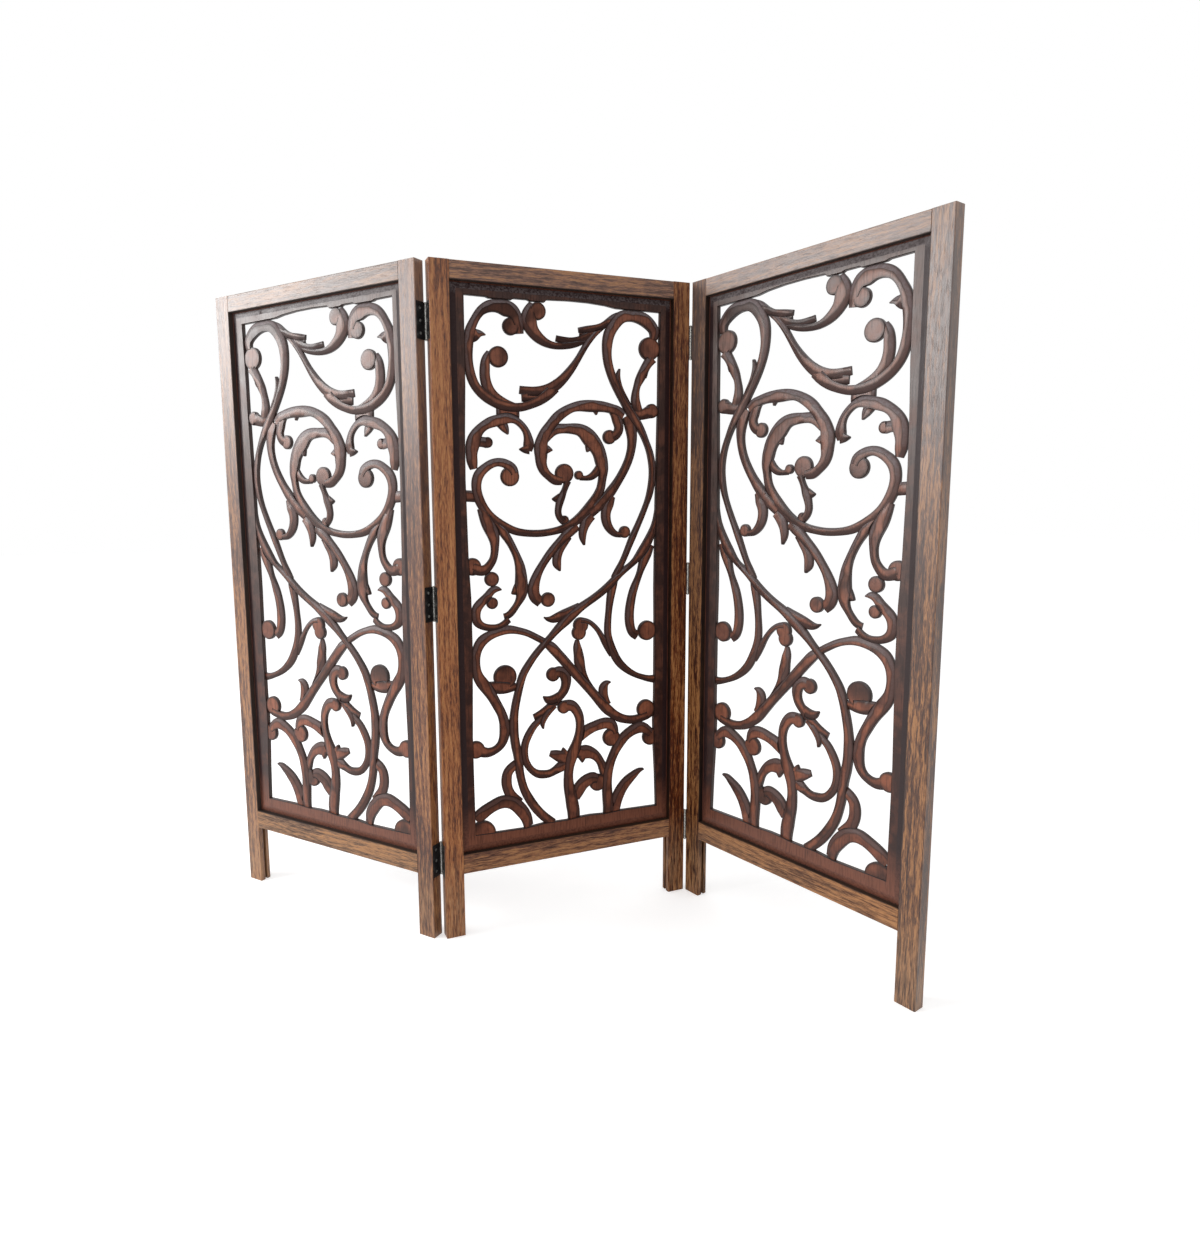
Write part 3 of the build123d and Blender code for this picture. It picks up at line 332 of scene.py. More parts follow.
        (428, 351, 9), (437, 343, 8)),
    "foot_leaf": (
        (354, 188, 11), (356.5, 208, 11.3), (364, 226.5, 11), (374, 241.5, 10), (386.5, 253.5, 8.8),
        (399.5, 262.7, 6.3), (411, 269.5, 3.3), (420.5, 271.2, 0.5)),
    # scroll in the lower left corner
    "foot_curl": (
        (63, 219, 11.5), (81.5, 233, 10.8), (96, 240.5, 10), (112, 246, 10.8), (128, 245.5, 11.3),
        (143, 237.5, 12), (156, 223, 12.2), (165, 208, 10.8), (170, 190, 9.2)),
    "foot_rise": (
        (152, 322, 5.5), (140.5, 314, 7.5), (130, 304, 8.2), (126, 290, 9), (126.5, 277, 9),
        (130.5, 264, 9), (139.5, 251, 9.5), (152, 239, 9)),
}

LOBES = {
    "great_c": (148.5, 1117.5, 14.8),
    "inner_c": (124, 1064, 17.8),
    "sprig": (200, 1147, 15),
    "long_s": (428, 1094, 21),
    "right_stub": (434, 979, 13),
    "arch_drop": (343.5, 928.5, 12.8),
    "loop_end": (142.5, 855, 17),
    "outer_arch": (250, 860.5, 17.6),
    "loop_tail": (279.5, 857.5, 7.8),
    "pendant": (249.5, 774.5, 8.2),
    "left_stub": (101, 915, 9),
    "small_hook": (376, 749.5, 11),
    "fork_left": (68, 694.5, 15.5),
    "beak_top": (104, 670.5, 13),
    "fork_right": (104, 626.5, 10.3),
    "leaf_stem": (214.5, 627, 13.3),
    "right_drop": (426, 554, 19.2),
    "bud_upper": (282, 574, 14.8),
    "bud_lower": (278, 560, 13.8),
    "arch_tongue": (126.5, 487, 21.8),
    "curl": (223.5, 483, 13),
    "trunk": (245, 417, 12),
    "trunk_arm": (347, 345.5, 17.5),
    "border_middle": (424, 395, 18.6),
    "border_low": (435, 336.5, 16.8),
    "foot_arch": (317, 256.8, 16.5),
    "lower_arch": (67, 354.5, 16),
    "corner": (76, 189, 26),
}

FIELD_EDGE = (
    (62, 1164.5), (102, 1164), (108, 1162), (150, 1162), (154, 1164.5), (180, 1164.5), (185, 1162.5),
    (213, 1162.5), (217, 1167), (260, 1168.5), (300, 1168), (335, 1165.5), (357, 1162), (449.5, 1161),
    (449, 1130), (447.5, 1075), (447, 995), (445, 900), (443, 800), (441.5, 640), (442.5, 560),
    (442.5, 420), (440.5, 370), (442, 320), (445.5, 260), (448, 191),
    (365, 193), (330, 191.5), (300, 193.5), (275, 193), (250, 191), (200, 192), (160, 188.5),
    (110, 189.5), (62, 191),
    (61, 300), (60.5, 380), (62.5, 470), (64, 560), (63.5, 640), (60.5, 700), (58, 850), (59, 930),
    (61.5, 1010), (62, 1100))

# Which strands are carved under which, from the lowest layer up. Lobes lie under them all.
LAYERS = (
    ("c_barb", "leaf_b", "top_leaf_low", "loop_barb", "loop_barb_left", "pendant_barb", "left_arch_tip",
     "left_arch_barb", "left_stub", "arch_tie", "border_tie", "fork_barb", "stem_leaf",
     "arch_tongue", "steep_leaf", "horn", "bud_stem", "curl", "ring", "ring_leaf", "ring_barb",
     "trunk_arm", "trunk_arch", "trunk_barb", "foot_arch", "foot_rise"),
    ("inner_c", "leaf_a", "sprig_leaf", "s_barb", "s_tail", "right_notch", "right_stub", "arch_barb",
     "arch_drop", "loop", "loop_tail", "drop_leaf", "pendant", "left_arch", "fork_right", "beak",
     "leaf_stem", "diagonal_leaf", "lower_arch", "steep", "curl_leaf", "curl_tip", "trunk",
     "foot_leaf"),
    ("great_c", "sprig", "top_leaf", "right_hook", "outer_arch", "cross_down", "small_hook",
     "fork_left", "right_drop", "stalk", "foot_curl"),
    ("long_s", "diagonal"),
)


def in_scene(name, data):
    """A new object in the scene."""
    piece = bpy.data.objects.new(name, data)
    bpy.context.scene.collection.objects.link(piece)
    return piece


# ---- Camera, as the photograph has it ----
camera_place = Vector((-0.50202, -1.35339, 0.8131))
camera_yaw = math.radians(21.392)
camera_pitch = math.radians(-7.406)
camera_roll = math.radians(-0.651)
image_height = 1235
focal_pixels = 807.7
sensor_size = 36.0
sight_shift_x = 0.0454
sight_shift_y = -0.0105


def add_camera():
    """The camera at the photograph's viewing angle."""
    data = bpy.data.cameras.new("camera")
    camera = in_scene("camera", data)
    bpy.context.scene.camera = camera
    forward = Vector((
        math.sin(camera_yaw) * math.cos(camera_pitch),
        math.cos(camera_yaw) * math.cos(camera_pitch),
        math.sin(camera_pitch)))
    level_right = Vector((math.cos(camera_yaw), -math.sin(camera_yaw), 0))
    level_up = level_right.cross(forward)
    right = level_right * math.cos(camera_roll) + level_up * math.sin(camera_roll)
    up = level_up * math.cos(camera_roll) - level_right * math.sin(camera_roll)
    turn = Matrix((right, up, -forward)).transposed()
    camera.matrix_world = Matrix.Translation(camera_place) @ turn.to_4x4()
    data.sensor_width = sensor_size
    data.lens = focal_pixels * sensor_size / image_height
    data.shift_x = sight_shift_x
    data.shift_y = sight_shift_y


add_camera()


# ---- Where each panel stands ----
def joint_place(name):
    """Axis of a fold, in plan."""
    joint = next(j for j in frame["joints"] if j["name"] == name)
    return Vector((joint["pos_m"][0], joint["pos_m"][1], 0))


def folded(pin, angle, corner):
    """Matrix of a panel whose lower left front corner starts at corner and swings round pin."""
    swing = Matrix.Translation(pin) @ Matrix.Rotation(-angle, 4, "Z") @ Matrix.Translation(-pin)
    return swing @ Matrix.Translation(corner)


across_one_panel = Vector((panel_width + fold_gap, 0, 0))
panel_places = {
    "centre": Matrix.Translation(panel_corner),
    "left": folded(joint_place("left_fold"), left_fold_angle, panel_corner - across_one_panel),
    "right": folded(joint_place("right_fold"), right_fold_angle, panel_corner + across_one_panel),
}


# ---- Lines on the board (mm, in the panel's own frame) ----
def on_board(u, v):
    """Cartoon point carried to the real opening."""
    across = stile_width / MM + (u - cartoon_left) * (opening_width / MM) / cartoon_width
    up = opening_low / MM + (v - cartoon_low) * (opening_height / MM) / cartoon_height
    return np.array((across, up))


def smooth_through(points, steps):
    """Points along a natural cubic spline through these, with steps between neighbours."""
    points = np.array(points)
    if len(points) == 2:
        shares = np.linspace(0, 1, steps + 1)[:, None]
        return points[0] * (1 - shares) + points[1] * shares
    gaps = np.linalg.norm(np.diff(points, axis=0), axis=1)
    count = len(points)
    system = np.eye(count)
    right_side = np.zeros_like(points)
    for i in range(1, count - 1):
        system[i, i - 1] = gaps[i - 1]
        system[i, i] = 2 * (gaps[i - 1] + gaps[i])
        system[i, i + 1] = gaps[i]
        slopes = (points[i + 1] - points[i]) / gaps[i] - (points[i] - points[i - 1]) / gaps[i - 1]
        right_side[i] = 6 * slopes
    bends = np.linalg.solve(system, right_side)
    line = []
    for i, gap in enumerate(gaps):
        for share in np.linspace(0, 1, steps, endpoint=False):
            ahead = share * gap
            back = gap - ahead
            line.append(
                bends[i] * back ** 3 / (6 * gap) + bends[i + 1] * ahead ** 3 / (6 * gap)
                + (points[i] / gap - bends[i] * gap / 6) * back
                + (points[i + 1] / gap - bends[i + 1] * gap / 6) * ahead)
    line.append(points[-1])
    return np.array(line)


def strand_sides(stations):
    """Stations along the left and right side of a strand, square to its middle line."""
    middles = [np.array((u, v), float) for u, v, half_width in stations]
    left_side = []
    right_side = []
    for index, (middle, station) in enumerate(zip(middles, stations)):
        before = middles[max(index - 1, 0)]
        after = middles[min(index + 1, len(middles) - 1)]
        back = middle - before
        ahead = after - middle
        back_length = np.hypot(*back)
        ahead_length = np.hypot(*ahead)
        if back_length == 0 or ahead_length == 0:
            run = after - before
        else:
            run = back * (ahead_length / back_length) + ahead * (back_length / ahead_length)
        run = run / np.hypot(*run)
        square = np.array((-run[1], run[0])) * (station[2] + strand_gain)
        left_side.append(on_board(*(middle + square)))
        right_side.append(on_board(*(middle - square)))
    return left_side, right_side


def bend_of(line):
    """Signed bend of a line at each point, positive where it turns left, evened out."""
    bends = np.zeros(len(line))
    for i in range(len(line)):
        incoming = line[i] - line[max(i - bend_reach, 0)]
        outgoing = line[min(i + bend_reach, len(line) - 1)] - line[i]
        incoming_length = np.hypot(*incoming)
        outgoing_length = np.hypot(*outgoing)
        if incoming_length == 0 or outgoing_length == 0:
            continue
        turn = math.atan2(
            incoming[0] * outgoing[1] - incoming[1] * outgoing[0], float(incoming @ outgoing))
        bends[i] = 2 * turn / (incoming_length + outgoing_length)
    bends[0] = bends[1]
    bends[-1] = bends[-2]
    padded = np.pad(bends, bend_window // 2, mode="edge")
    return np.convolve(padded, np.ones(bend_window) / bend_window, mode="valid")


def offset_loop(loop, distance):
    """A closed clockwise loop moved sideways, outward where distance is positive."""
    loop = np.array(loop)
    back = loop - np.roll(loop, 1, axis=0)
    ahead = np.roll(loop, -1, axis=0) - loop
    back = back / np.linalg.norm(back, axis=1)[:, None]
    ahead = ahead / np.linalg.norm(ahead, axis=1)[:, None]
    back_out = np.stack((-back[:, 1], back[:, 0]), axis=1)
    ahead_out = np.stack((-ahead[:, 1], ahead[:, 0]), axis=1)
    middle = back_out + ahead_out
    middle = middle / (1 + np.sum(back_out * ahead_out, axis=1))[:, None]
    return loop + middle * distance


def at_depth(outline, depth):
    """An outline on the board as points that all lie at one depth."""
    outline = np.array(outline)
    return np.stack((outline[:, 0], np.full(len(outline), depth), outline[:, 1]), axis=1)


# ---- Marked solids ----
# Faces are marked by what they are, for their finish.
TOP, CHAMFER, WALL, BACK, BORDER, RIM = range(6)


def lofted(name, loops, roles, edges, insets, cap_roles):
    """A closed solid through loops of (x, y, z) in mm, marked for its finish.

    roles marks the strip of faces after each point of a loop. edges and insets give each
    point's distance from the nearest side and from the edge of the top face."""
    count = len(loops[0])
    points = np.concatenate(loops) * MM
    faces = []
    face_roles = []
    for i in range(len(loops) - 1):
        for j in range(count):
            k = (j + 1) % count
            faces.append((i * count + j, i * count + k, (i + 1) * count + k, (i + 1) * count + j))
            face_roles.append(roles[i][j])
    last = (len(loops) - 1) * count
    faces.append(tuple(range(count - 1, -1, -1)))
    faces.append(tuple(range(last, last + count)))
    face_roles += list(cap_roles)
    mesh = bpy.data.meshes.new(name)
    mesh.from_pydata(points.tolist(), [], faces)
    marks = mesh.attributes.new("role", "INT", "FACE")
    marks.data.foreach_set("value", face_roles)
    layer = mesh.uv_layers.new(name="carving")
    corner_points = np.zeros(len(mesh.loops), int)
    mesh.loops.foreach_get("vertex_index", corner_points)
    flat = np.stack((np.concatenate(edges), np.concatenate(insets)), axis=1)
    layer.data.foreach_set("uv", flat[corner_points].ravel())
    shell = bmesh.new()
    shell.from_mesh(mesh)
    bmesh.ops.recalc_face_normals(shell, faces=shell.faces)
    shell.to_mesh(mesh)
    shell.free()
    return in_scene(name, mesh)


def combined(base, others, operation):
    """base with the others joined on or cut away, as one closed piece."""
    group = bpy.data.collections.new("operands")
    bpy.context.scene.collection.children.link(group)
    for other in others:
        group.objects.link(other)
    step = base.modifiers.new("combine", "BOOLEAN")
    step.operation = operation
    step.solver = "MANIFOLD"
    step.operand_type = "COLLECTION"
    step.collection = group
    depsgraph = bpy.context.evaluated_depsgraph_get()
    mesh = bpy.data.meshes.new_from_object(base.evaluated_get(depsgraph))
    base.modifiers.clear()
    base.data = mesh
    for other in others:
        bpy.data.objects.remove(other)
    bpy.data.collections.remove(group)
    return base


# ---- Carved strands and lobes ----
def strand_lines(name):
    """Left side and right side of a strand, with the distance along its middle."""
    left_stations, right_stations = strand_sides(STRANDS[name])
    left_line = smooth_through(left_stations, steps_between_stations)
    right_line = smooth_through(right_stations, steps_between_stations)
    middle = (left_line + right_line) / 2
    lengths = np.linalg.norm(np.diff(middle, axis=0), axis=1)
    runs = np.concatenate(([0], np.cumsum(lengths)))
    return left_line, right_line, runs


def chamfers(left_line, right_line):
    """Widths, then depths, of the left and right chamfers: wide outside a bend, narrow inside."""
    lean = np.clip(bend_of((left_line + right_line) / 2) * full_bend_radius, -1, 1)
    shares = ((1 - lean) / 2, (1 + lean) / 2)
    widths = [narrow_chamfer + (wide_chamfer - narrow_chamfer) * share for share in shares]
    depths = [narrow_depth + (wide_depth - narrow_depth) * share for share in shares]
    return (*widths, *depths)


def runs_into_others(name):
    """Whether each end of a strand runs on into another strand, past any lobe and not to a point."""
    answers = []
    for u, v, half_width in (STRANDS[name][0], STRANDS[name][-1]):
        in_lobe = any(math.hypot(u - a, v - b) < radius for a, b, radius in LOBES.values())
        answers.append(half_width > pointed_half_width and not in_lobe)
    return answers


def end_drops(name, runs):
    """How far below its own level a strand's face lies at each point: ends slope down or step."""
    drops = np.zeros(len(runs))
    reach = min(dive_length, runs[-1] / dives_in_strand)
    for dives, from_end in zip(runs_into_others(name), (runs, runs[-1] - runs)):
        if dives:
            share = np.clip(1 - from_end / reach, 0, 1)
            drops = np.maximum(drops, dive_depth * share * share * (3 - 2 * share))
        else:
            drops = np.maximum(drops, np.where(from_end < end_chamfer / 2, end_chamfer, 0))
    return drops


def with_end_steps(left_line, right_line, runs):
    """The same lines with a station just inside each end, for the chamfered ends."""
    place = min(end_chamfer, runs[-1] / end_chamfers_in_strand)
    marks = np.sort(np.concatenate((runs, (place, runs[-1] - place))))
    lines = []
    for line in (left_line, right_line):
        lines.append(np.stack([np.interp(marks, runs, line[:, axis]) for axis in range(2)], axis=1))
    return (*lines, marks)


def cross_section(*corners):
    """Corners of (place on the board, depth) as points."""
    return np.array([(place[0], depth, place[1]) for place, depth in corners])


def strand_piece(name, top):
    """A strand with a crowned face, a wide chamfer outside its bends and a sharp edge inside."""
    left_line, right_line, runs = with_end_steps(*strand_lines(name))
    left_widths, right_widths, left_depths, right_depths = chamfers(left_line, right_line)
    widths = np.linalg.norm(left_line - right_line, axis=1)
    drops = end_drops(name, runs)
    waver = Random(name).uniform(0, 6)
    loops = []
    edges = []
    insets = []
    for i, (left, right, width) in enumerate(zip(left_line, right_line, widths)):
        slow = slow_waver * math.sin(runs[i] / slow_waver_length + waver)
        quick = quick_waver * math.sin(runs[i] / quick_waver_length + 2 * waver)
        hand = 1 + slow + quick
        limit = width * widest_chamfer_share
        left_wide = min(limit, left_widths[i] * hand)
        right_wide = min(limit, right_widths[i] * hand)
        left_top = left + (right - left) * (left_wide / width)
        right_top = right + (left - right) * (right_wide / width)
        middle = (left_top + right_top) / 2
        face = top + drops[i]
        loops.append(cross_section(
            (left, board_back), (left, face + left_depths[i]), (left_top, face), (middle, face - crown),
            (right_top, face), (right, face + right_depths[i]), (right, board_back)))
        half = np.linalg.norm(left_top - middle)
        edges.append((0, 0, left_wide, left_wide + half, right_wide, 0, 0))
        insets.append((0, 0, 0, half, 0, 0, 0))
    roles = [(WALL, CHAMFER, TOP, TOP, CHAMFER, WALL, BACK)] * len(loops)
    return lofted(name, loops, roles, edges, insets, (WALL, WALL))


def strand_moat(name, top):
    """The space cleared round a strand's raised length in what lies under it."""
    left_line, right_line, runs = strand_lines(name)
    left_depths, right_depths = chamfers(left_line, right_line)[2:]
    out = left_line - right_line
    out = out / np.linalg.norm(out, axis=1)[:, None]
    loops = []
    for i, drop in enumerate(end_drops(name, runs)):
        if drop >= moat_drop_limit:
            continue
        left = left_line[i]
        right = right_line[i]
        level = top + drop
        aside = out[i] * (moat_width * max(least_moat_share, 1 - drop / dive_depth))
        loops.append(cross_section(
            (left + aside, clear_front), (left + aside, level), (left, level + left_depths[i]),
            (right, level + right_depths[i]), (right - aside, level), (right - aside, clear_front)))
    edges = [(0,) * 6] * len(loops)
    roles = [(CHAMFER,) * 6] * len(loops)
    return lofted("moat", loops, roles, edges, edges, (CHAMFER, CHAMFER))


def lobe_piece(name):
    """A flat round lobe with a small chamfer."""
    u, v, radius = LOBES[name]
    radius = (radius + strand_gain) * (opening_width / MM / cartoon_width)
    turns = np.linspace(0, 2 * math.pi, lobe_sides, endpoint=False)
    around = np.stack((np.cos(turns), np.sin(turns)), axis=1)
    rings = (
        (radius, board_back), (radius, lobe_top + lobe_chamfer), (radius - lobe_chamfer, lobe_top),
        (radius * lobe_crown_share, lobe_top - crown), (radius * lobe_cap_share, lobe_top - crown))
    loops = [at_depth(on_board(u, v) + around * ring_radius, depth) for ring_radius, depth in rings]
    edges = [(radius - ring_radius,) * lobe_sides for ring_radius, depth in rings]
    insets = [(max(0, radius - lobe_chamfer - ring_radius),) * lobe_sides for ring_radius, depth in rings]
    roles = [(role,) * lobe_sides for role in (WALL, CHAMFER, TOP, TOP)]
    return lofted(name, loops, roles, edges, insets, (BACK, TOP))


# ---- Border and whole boards ----
def prism(name, sections, strip_roles, cap_roles):
    """A solid whose outline changes with depth, through sections of (loop, depth)."""
    loops = [at_depth(loop, depth) for loop, depth in sections]
    count = len(loops[0])
    roles = [(role,) * count for role in strip_roles]
    edges = [(0,) * count] * len(loops)
    return lofted(name, loops, roles, edges, edges, cap_roles)


def rim_loop(inset, unevenness=0, seed=1):
    """Rectangle round the opening, inset from it, with a little hand unevenness."""
    low = np.array((stile_width / MM + inset, opening_low / MM + inset))
    high = np.array((panel_width / MM - stile_width / MM - inset, opening_high / MM - inset))
    corners = (low, np.array((low[0], high[1])), high, np.array((high[0], low[1])))
    top_side = 1
    chance = Random(seed)
    loop = []
    for index, corner in enumerate(corners):
        side = corners[(index + 1) % 4] - corner
        inward = side[::-1] * (1, -1)
        inward = inward / np.hypot(*inward)
        count = upright_rim_points if index % 2 == 0 else level_rim_points
        for share in np.linspace(0, 1, count, endpoint=False):
            fade = min(1, corner_fade * share, corner_fade * (1 - share))
            jag = chance.uniform(-1, 1) * unevenness * fade
            if index == top_side:
                jag = jag * top_unevenness_share
            loop.append(corner + side * share + inward * jag)
    return loop


def field_loop(shift):
    """Inner edge of the border, with the pattern's shift on its board."""
    return [on_board(u, v) + np.array(shift) for u, v in FIELD_EDGE]


def border_plate(shift):
    """The board's flat border: tongue all round, bevelled rim, and the opening for the carving."""
    arris = bevel_start + bevel_width
    plate = prism("border", (
        (rim_loop(-tongue_length), board_back),
        (rim_loop(-tongue_length), board_front + tongue_step),
        (rim_loop(bevel_start), board_front + tongue_step),
        (rim_loop(arris, arris_unevenness, 2), board_front + arris_drop),
        (rim_loop(arris + arris_width, arris_inner_unevenness, 3), board_front)),
        (WALL, BACK, RIM, RIM), (BACK, BORDER))
    field = field_loop(shift)
    hole = prism("hole", (
        (offset_loop(field, border_chamfer * 2), board_front - border_chamfer),
        (field, board_front + border_chamfer),
        (field, board_back + hole_overshoot)), (CHAMFER, WALL), (BACK, BACK))
    return combined(plate, [hole], "DIFFERENCE")


def border_moat(shift):
    """The groove where the carving runs up to the border."""
    around = rim_loop(-tongue_length - hole_overshoot)
    depth = board_front + border_chamfer + border_moat_depth
    slab = prism("slab", ((around, clear_front), (around, depth)), (WALL,), (BACK, BACK))
    field = field_loop(shift)
    hole = prism("hole", (
        (offset_loop(field, -moat_width), clear_front - hole_overshoot),
        (offset_loop(field, -moat_width), board_front),
        (field, depth),
        (field, depth + hole_overshoot)), (CHAMFER, CHAMFER, CHAMFER), (BACK, BACK))
    return combined(slab, [hole], "DIFFERENCE")


def carved_field():
    """All the strands and lobes in one piece, in the centre board's place."""
    lobes = [lobe_piece(name) for name in LOBES]
    field = combined(lobes[0], lobes[1:], "UNION")
    for layer, top in zip(LAYERS, layer_tops):
        field = combined(field, [strand_moat(name, top) for name in layer], "DIFFERENCE")
        field = combined(field, [strand_piece(name, top) for name in layer], "UNION")
    return field


def framed_by_border(field, name, shift):
    """A whole board: the carved field, moved by its shift, with its border round it."""
    board = in_scene(name, field.data.copy())
    board.data.transform(Matrix.Translation((shift[0] * MM, 0, shift[1] * MM)))
    board = combined(board, [border_moat(shift)], "DIFFERENCE")
    return combined(board, [border_plate(shift)], "UNION")


def finish_mesh(mesh):
    """Smooth faces with crisp carved edges, and the second finish for the sawn sides."""
    shell = bmesh.new()
    shell.from_mesh(mesh)
    bmesh.ops.remove_doubles(shell, verts=shell.verts, dist=weld_distance)
    bmesh.ops.dissolve_degenerate(shell, edges=shell.edges, dist=sliver_length)
    shell.to_mesh(mesh)
    shell.free()
    mesh.shade_smooth()
    mesh.set_sharp_from_angle(angle=sharp_angle)
    marks = np.zeros(len(mesh.polygons), dtype=np.int32)
    mesh.attributes["role"].data.foreach_get("value", marks)
    mesh.polygons.foreach_set("material_index", (marks == WALL).astype(np.int32))


def mirror(mesh):
    """Exchanges left and right across the panel."""
    swap = Matrix.Translation((panel_width, 0, 0)) @ Matrix.Diagonal((-1, 1, 1, 1))
    mesh.transform(swap)
    mesh.flip_normals()


# ---- Shader helpers ----
def new_material(name):
    """An empty node material, with its tree and shader."""
    material = bpy.data.materials.new(name)
    material.use_nodes = True
    tree = material.node_tree
    tree.nodes.clear()
    output = tree.nodes.new("ShaderNodeOutputMaterial")
    shader = tree.nodes.new("ShaderNodeBsdfPrincipled")
    tree.links.new(shader.outputs["BSDF"], output.inputs["Surface"])
    return material, tree, shader


def add(tree, kind, inputs=None, **settings):
    """One node, with its settings, its input values and its incoming links."""
    node = tree.nodes.new(kind)
    for key, value in settings.items():
        setattr(node, key, value)
    for key, value in (inputs or {}).items():
        if isinstance(value, bpy.types.NodeSocket):
            tree.links.new(value, node.inputs[key])
        else:
            node.inputs[key].default_value = value
    return node


def object_place(tree):
    """Where a point lies on the object."""
    return add(tree, "ShaderNodeTexCoord").outputs["Object"]


def axis_of(tree, vector, axis):
    """One of a vector's three numbers."""
    return add(tree, "ShaderNodeSeparateXYZ", {"Vector": vector}).outputs[axis]


def drawn_out(tree, place, squeeze):
    """The place squeezed along z, so that a pattern on it is drawn out that way."""
    return add(tree, "ShaderNodeMapping", {"Vector": place, "Scale": (1, 1, squeeze)}).outputs[0]


def noise(tree, place, scale, detail, roughness, distortion=0.0):
    """A noise texture's value."""
    node = add(tree, "ShaderNodeTexNoise", {
        "Vector": place, "Scale": scale, "Detail": detail, "Roughness": roughness,
        "Distortion": distortion})
    return node.outputs["Fac"]


def drawn_noise(tree, place, squeeze, *settings):
    """Noise drawn out along z."""
    return noise(tree, drawn_out(tree, place, squeeze), *settings)


def spread(tree, value, low, high, start=0.0, end=1.0):
    """value from low..high carried to start..end, and held there beyond."""
    node = add(tree, "ShaderNodeMapRange", {
        "Value": value, "From Min": low, "From Max": high, "To Min": start, "To Max": end})
    return node.outputs["Result"]


def maths(tree, operation, first, second):
    """One arithmetic step."""
    return add(tree, "ShaderNodeMath", {0: first, 1: second}, operation=operation).outputs[0]


def times(tree, first, second):
    """The product of two values."""
    return maths(tree, "MULTIPLY", first, second)


def blend_colours(tree, share, first, second):
    """Two colours mixed by share."""
    node = add(tree, "ShaderNodeMix", {"Factor": share}, data_type="RGBA")
    for socket, value in ((node.inputs[6], first), (node.inputs[7], second)):
        if isinstance(value, bpy.types.NodeSocket):
            tree.links.new(value, socket)
        else:
            socket.default_value = (*value, 1)
    return node.outputs[2]


# Below, A_BY_B and the roughnesses are what spread takes after its value: the two values of B
# between which A changes, and then A at each, or 0 and 1 where it isn't said.
def tinted(tree, base, tint, value, change):
    """The base colour turned into the tint as value runs through this change."""
    return blend_colours(tree, spread(tree, value, *change), base, tint)


def surfaced(tree, shader, colour, roughness, relief, strength, distance):
    """The shader with its colour, its roughness and a fine relief."""
    bump = add(tree, "ShaderNodeBump", {"Height": relief, "Strength": strength, "Distance": distance})
    tree.links.new(colour, shader.inputs["Base Color"])
    tree.links.new(roughness, shader.inputs["Roughness"])
    tree.links.new(bump.outputs["Normal"], shader.inputs["Normal"])


# ---- Painted sheen ----
# A grey sheen is painted into the colour towards the top of the screen, most on the outer panels: a painted
# reflection of a window
SHEEN_GREY = (0.200, 0.160, 0.145)
sheen_from = 0.45
sheen_to = 1.10
PAINTED_SHEENS = {"centre": 0.12, "left": 0.50, "right": 0.45}


def under_painted_sheen(tree, colour, height, sheen_share):
    """The colour under a painted grey sheen that grows with height."""
    return tinted(tree, colour, SHEEN_GREY, height, (sheen_from, sheen_to, 0.0, sheen_share))


# ---- Wood of the frames ----
# The stain of each piece, taken up more deeply by some than by others, and its polish
FINISHES = {
    "centre": {
        "left_stile": ((0.290, 0.094, 0.028), 0.30),
        "right_stile": ((0.118, 0.025, 0.005), 0.12),
        "top_rail": ((0.200, 0.094, 0.060), 0.40),
        "bottom_rail": ((0.160, 0.058, 0.028), 0.25)},
    "left": {
        "left_stile": ((0.140, 0.058, 0.032), 0.60),
        "right_stile": ((0.135, 0.042, 0.016), 0.58),
        "top_rail": ((0.160, 0.084, 0.052), 0.56),
        "bottom_rail": ((0.190, 0.100, 0.055), 0.35)},
    "right": {
        "left_stile": ((0.062, 0.014, 0.005), 0.16),
        "right_stile": ((0.105, 0.038, 0.015), 0.62),
        "top_rail": ((0.175, 0.092, 0.062), 0.62),
        "bottom_rail": ((0.210, 0.088, 0.036), 0.35)},
}
PORE_BROWN = (0.022, 0.008, 0.004)
STREAK_DARKENING = (0.26, 0.19, 0.16)
GOLD = (0.60, 0.28, 0.10)
golden_share = 0.48
FOOT_TAN = (0.40, 0.22, 0.11)
# Painted shade on the frame's faces round the opening for the board
PAINTED_REVEAL_SHADE = (0.007, 0.003, 0.002)

# Each pattern of the grain: its squeeze along the wood, then its scale, detail, roughness, distortion
FIGURE = (0.14, 26.0, 3.0, 0.55, 0.8)
STREAKS = (0.07, 400.0, 4.0, 0.62, 0.4)
FIBRE = (0.09, 820.0, 3.0, 0.65)
PORES = (0.035, 1100.0, 2.0, 0.6)
ring_squeeze = 0.16
RINGS = {"Scale": 30.0, "Distortion": 9.0, "Detail": 3.0, "Detail Scale": 0.9, "Detail Roughness": 0.6}
GRAIN_SHIFT = (1.37, 0.71, 2.3)

# The tone that they make together: where each turns from dark to pale, and its share
ring_tone = 0.20
FIGURE_TONE = (0.38, 0.62, 0.30)
STREAK_TONE = (0.40, 0.60, 0.29)
FIBRE_TONE = (0.43, 0.57, 0.27)
dark_until = 0.26
stained_at = 0.52
golden_from = 0.77

FOOT_BY_HEIGHT = (0.07, 0.17, 0.6, 0.0)
FOOT_BY_STREAKS = (0.38, 0.6)
PORE_SHARE = (0.56, 0.68, 0, 0.7)
REVEAL_SHADE_BY_DISTANCE = (0.3 * MM, 2.2 * MM, 0.92, 0.0)
FRAME_ROUGHNESS = (0.3, 0.7, 0.32, 0.42)
reveal_dullness = 0.4
pore_relief = 0.8


def panel_place(tree, place_of_panel):
    """Object coordinates turned into the panel's own frame."""
    turn = place_of_panel.inverted()
    node = add(tree, "ShaderNodeMapping", {
        "Vector": object_place(tree), "Location": turn.translation, "Rotation": turn.to_euler()})
    return node.outputs["Vector"]


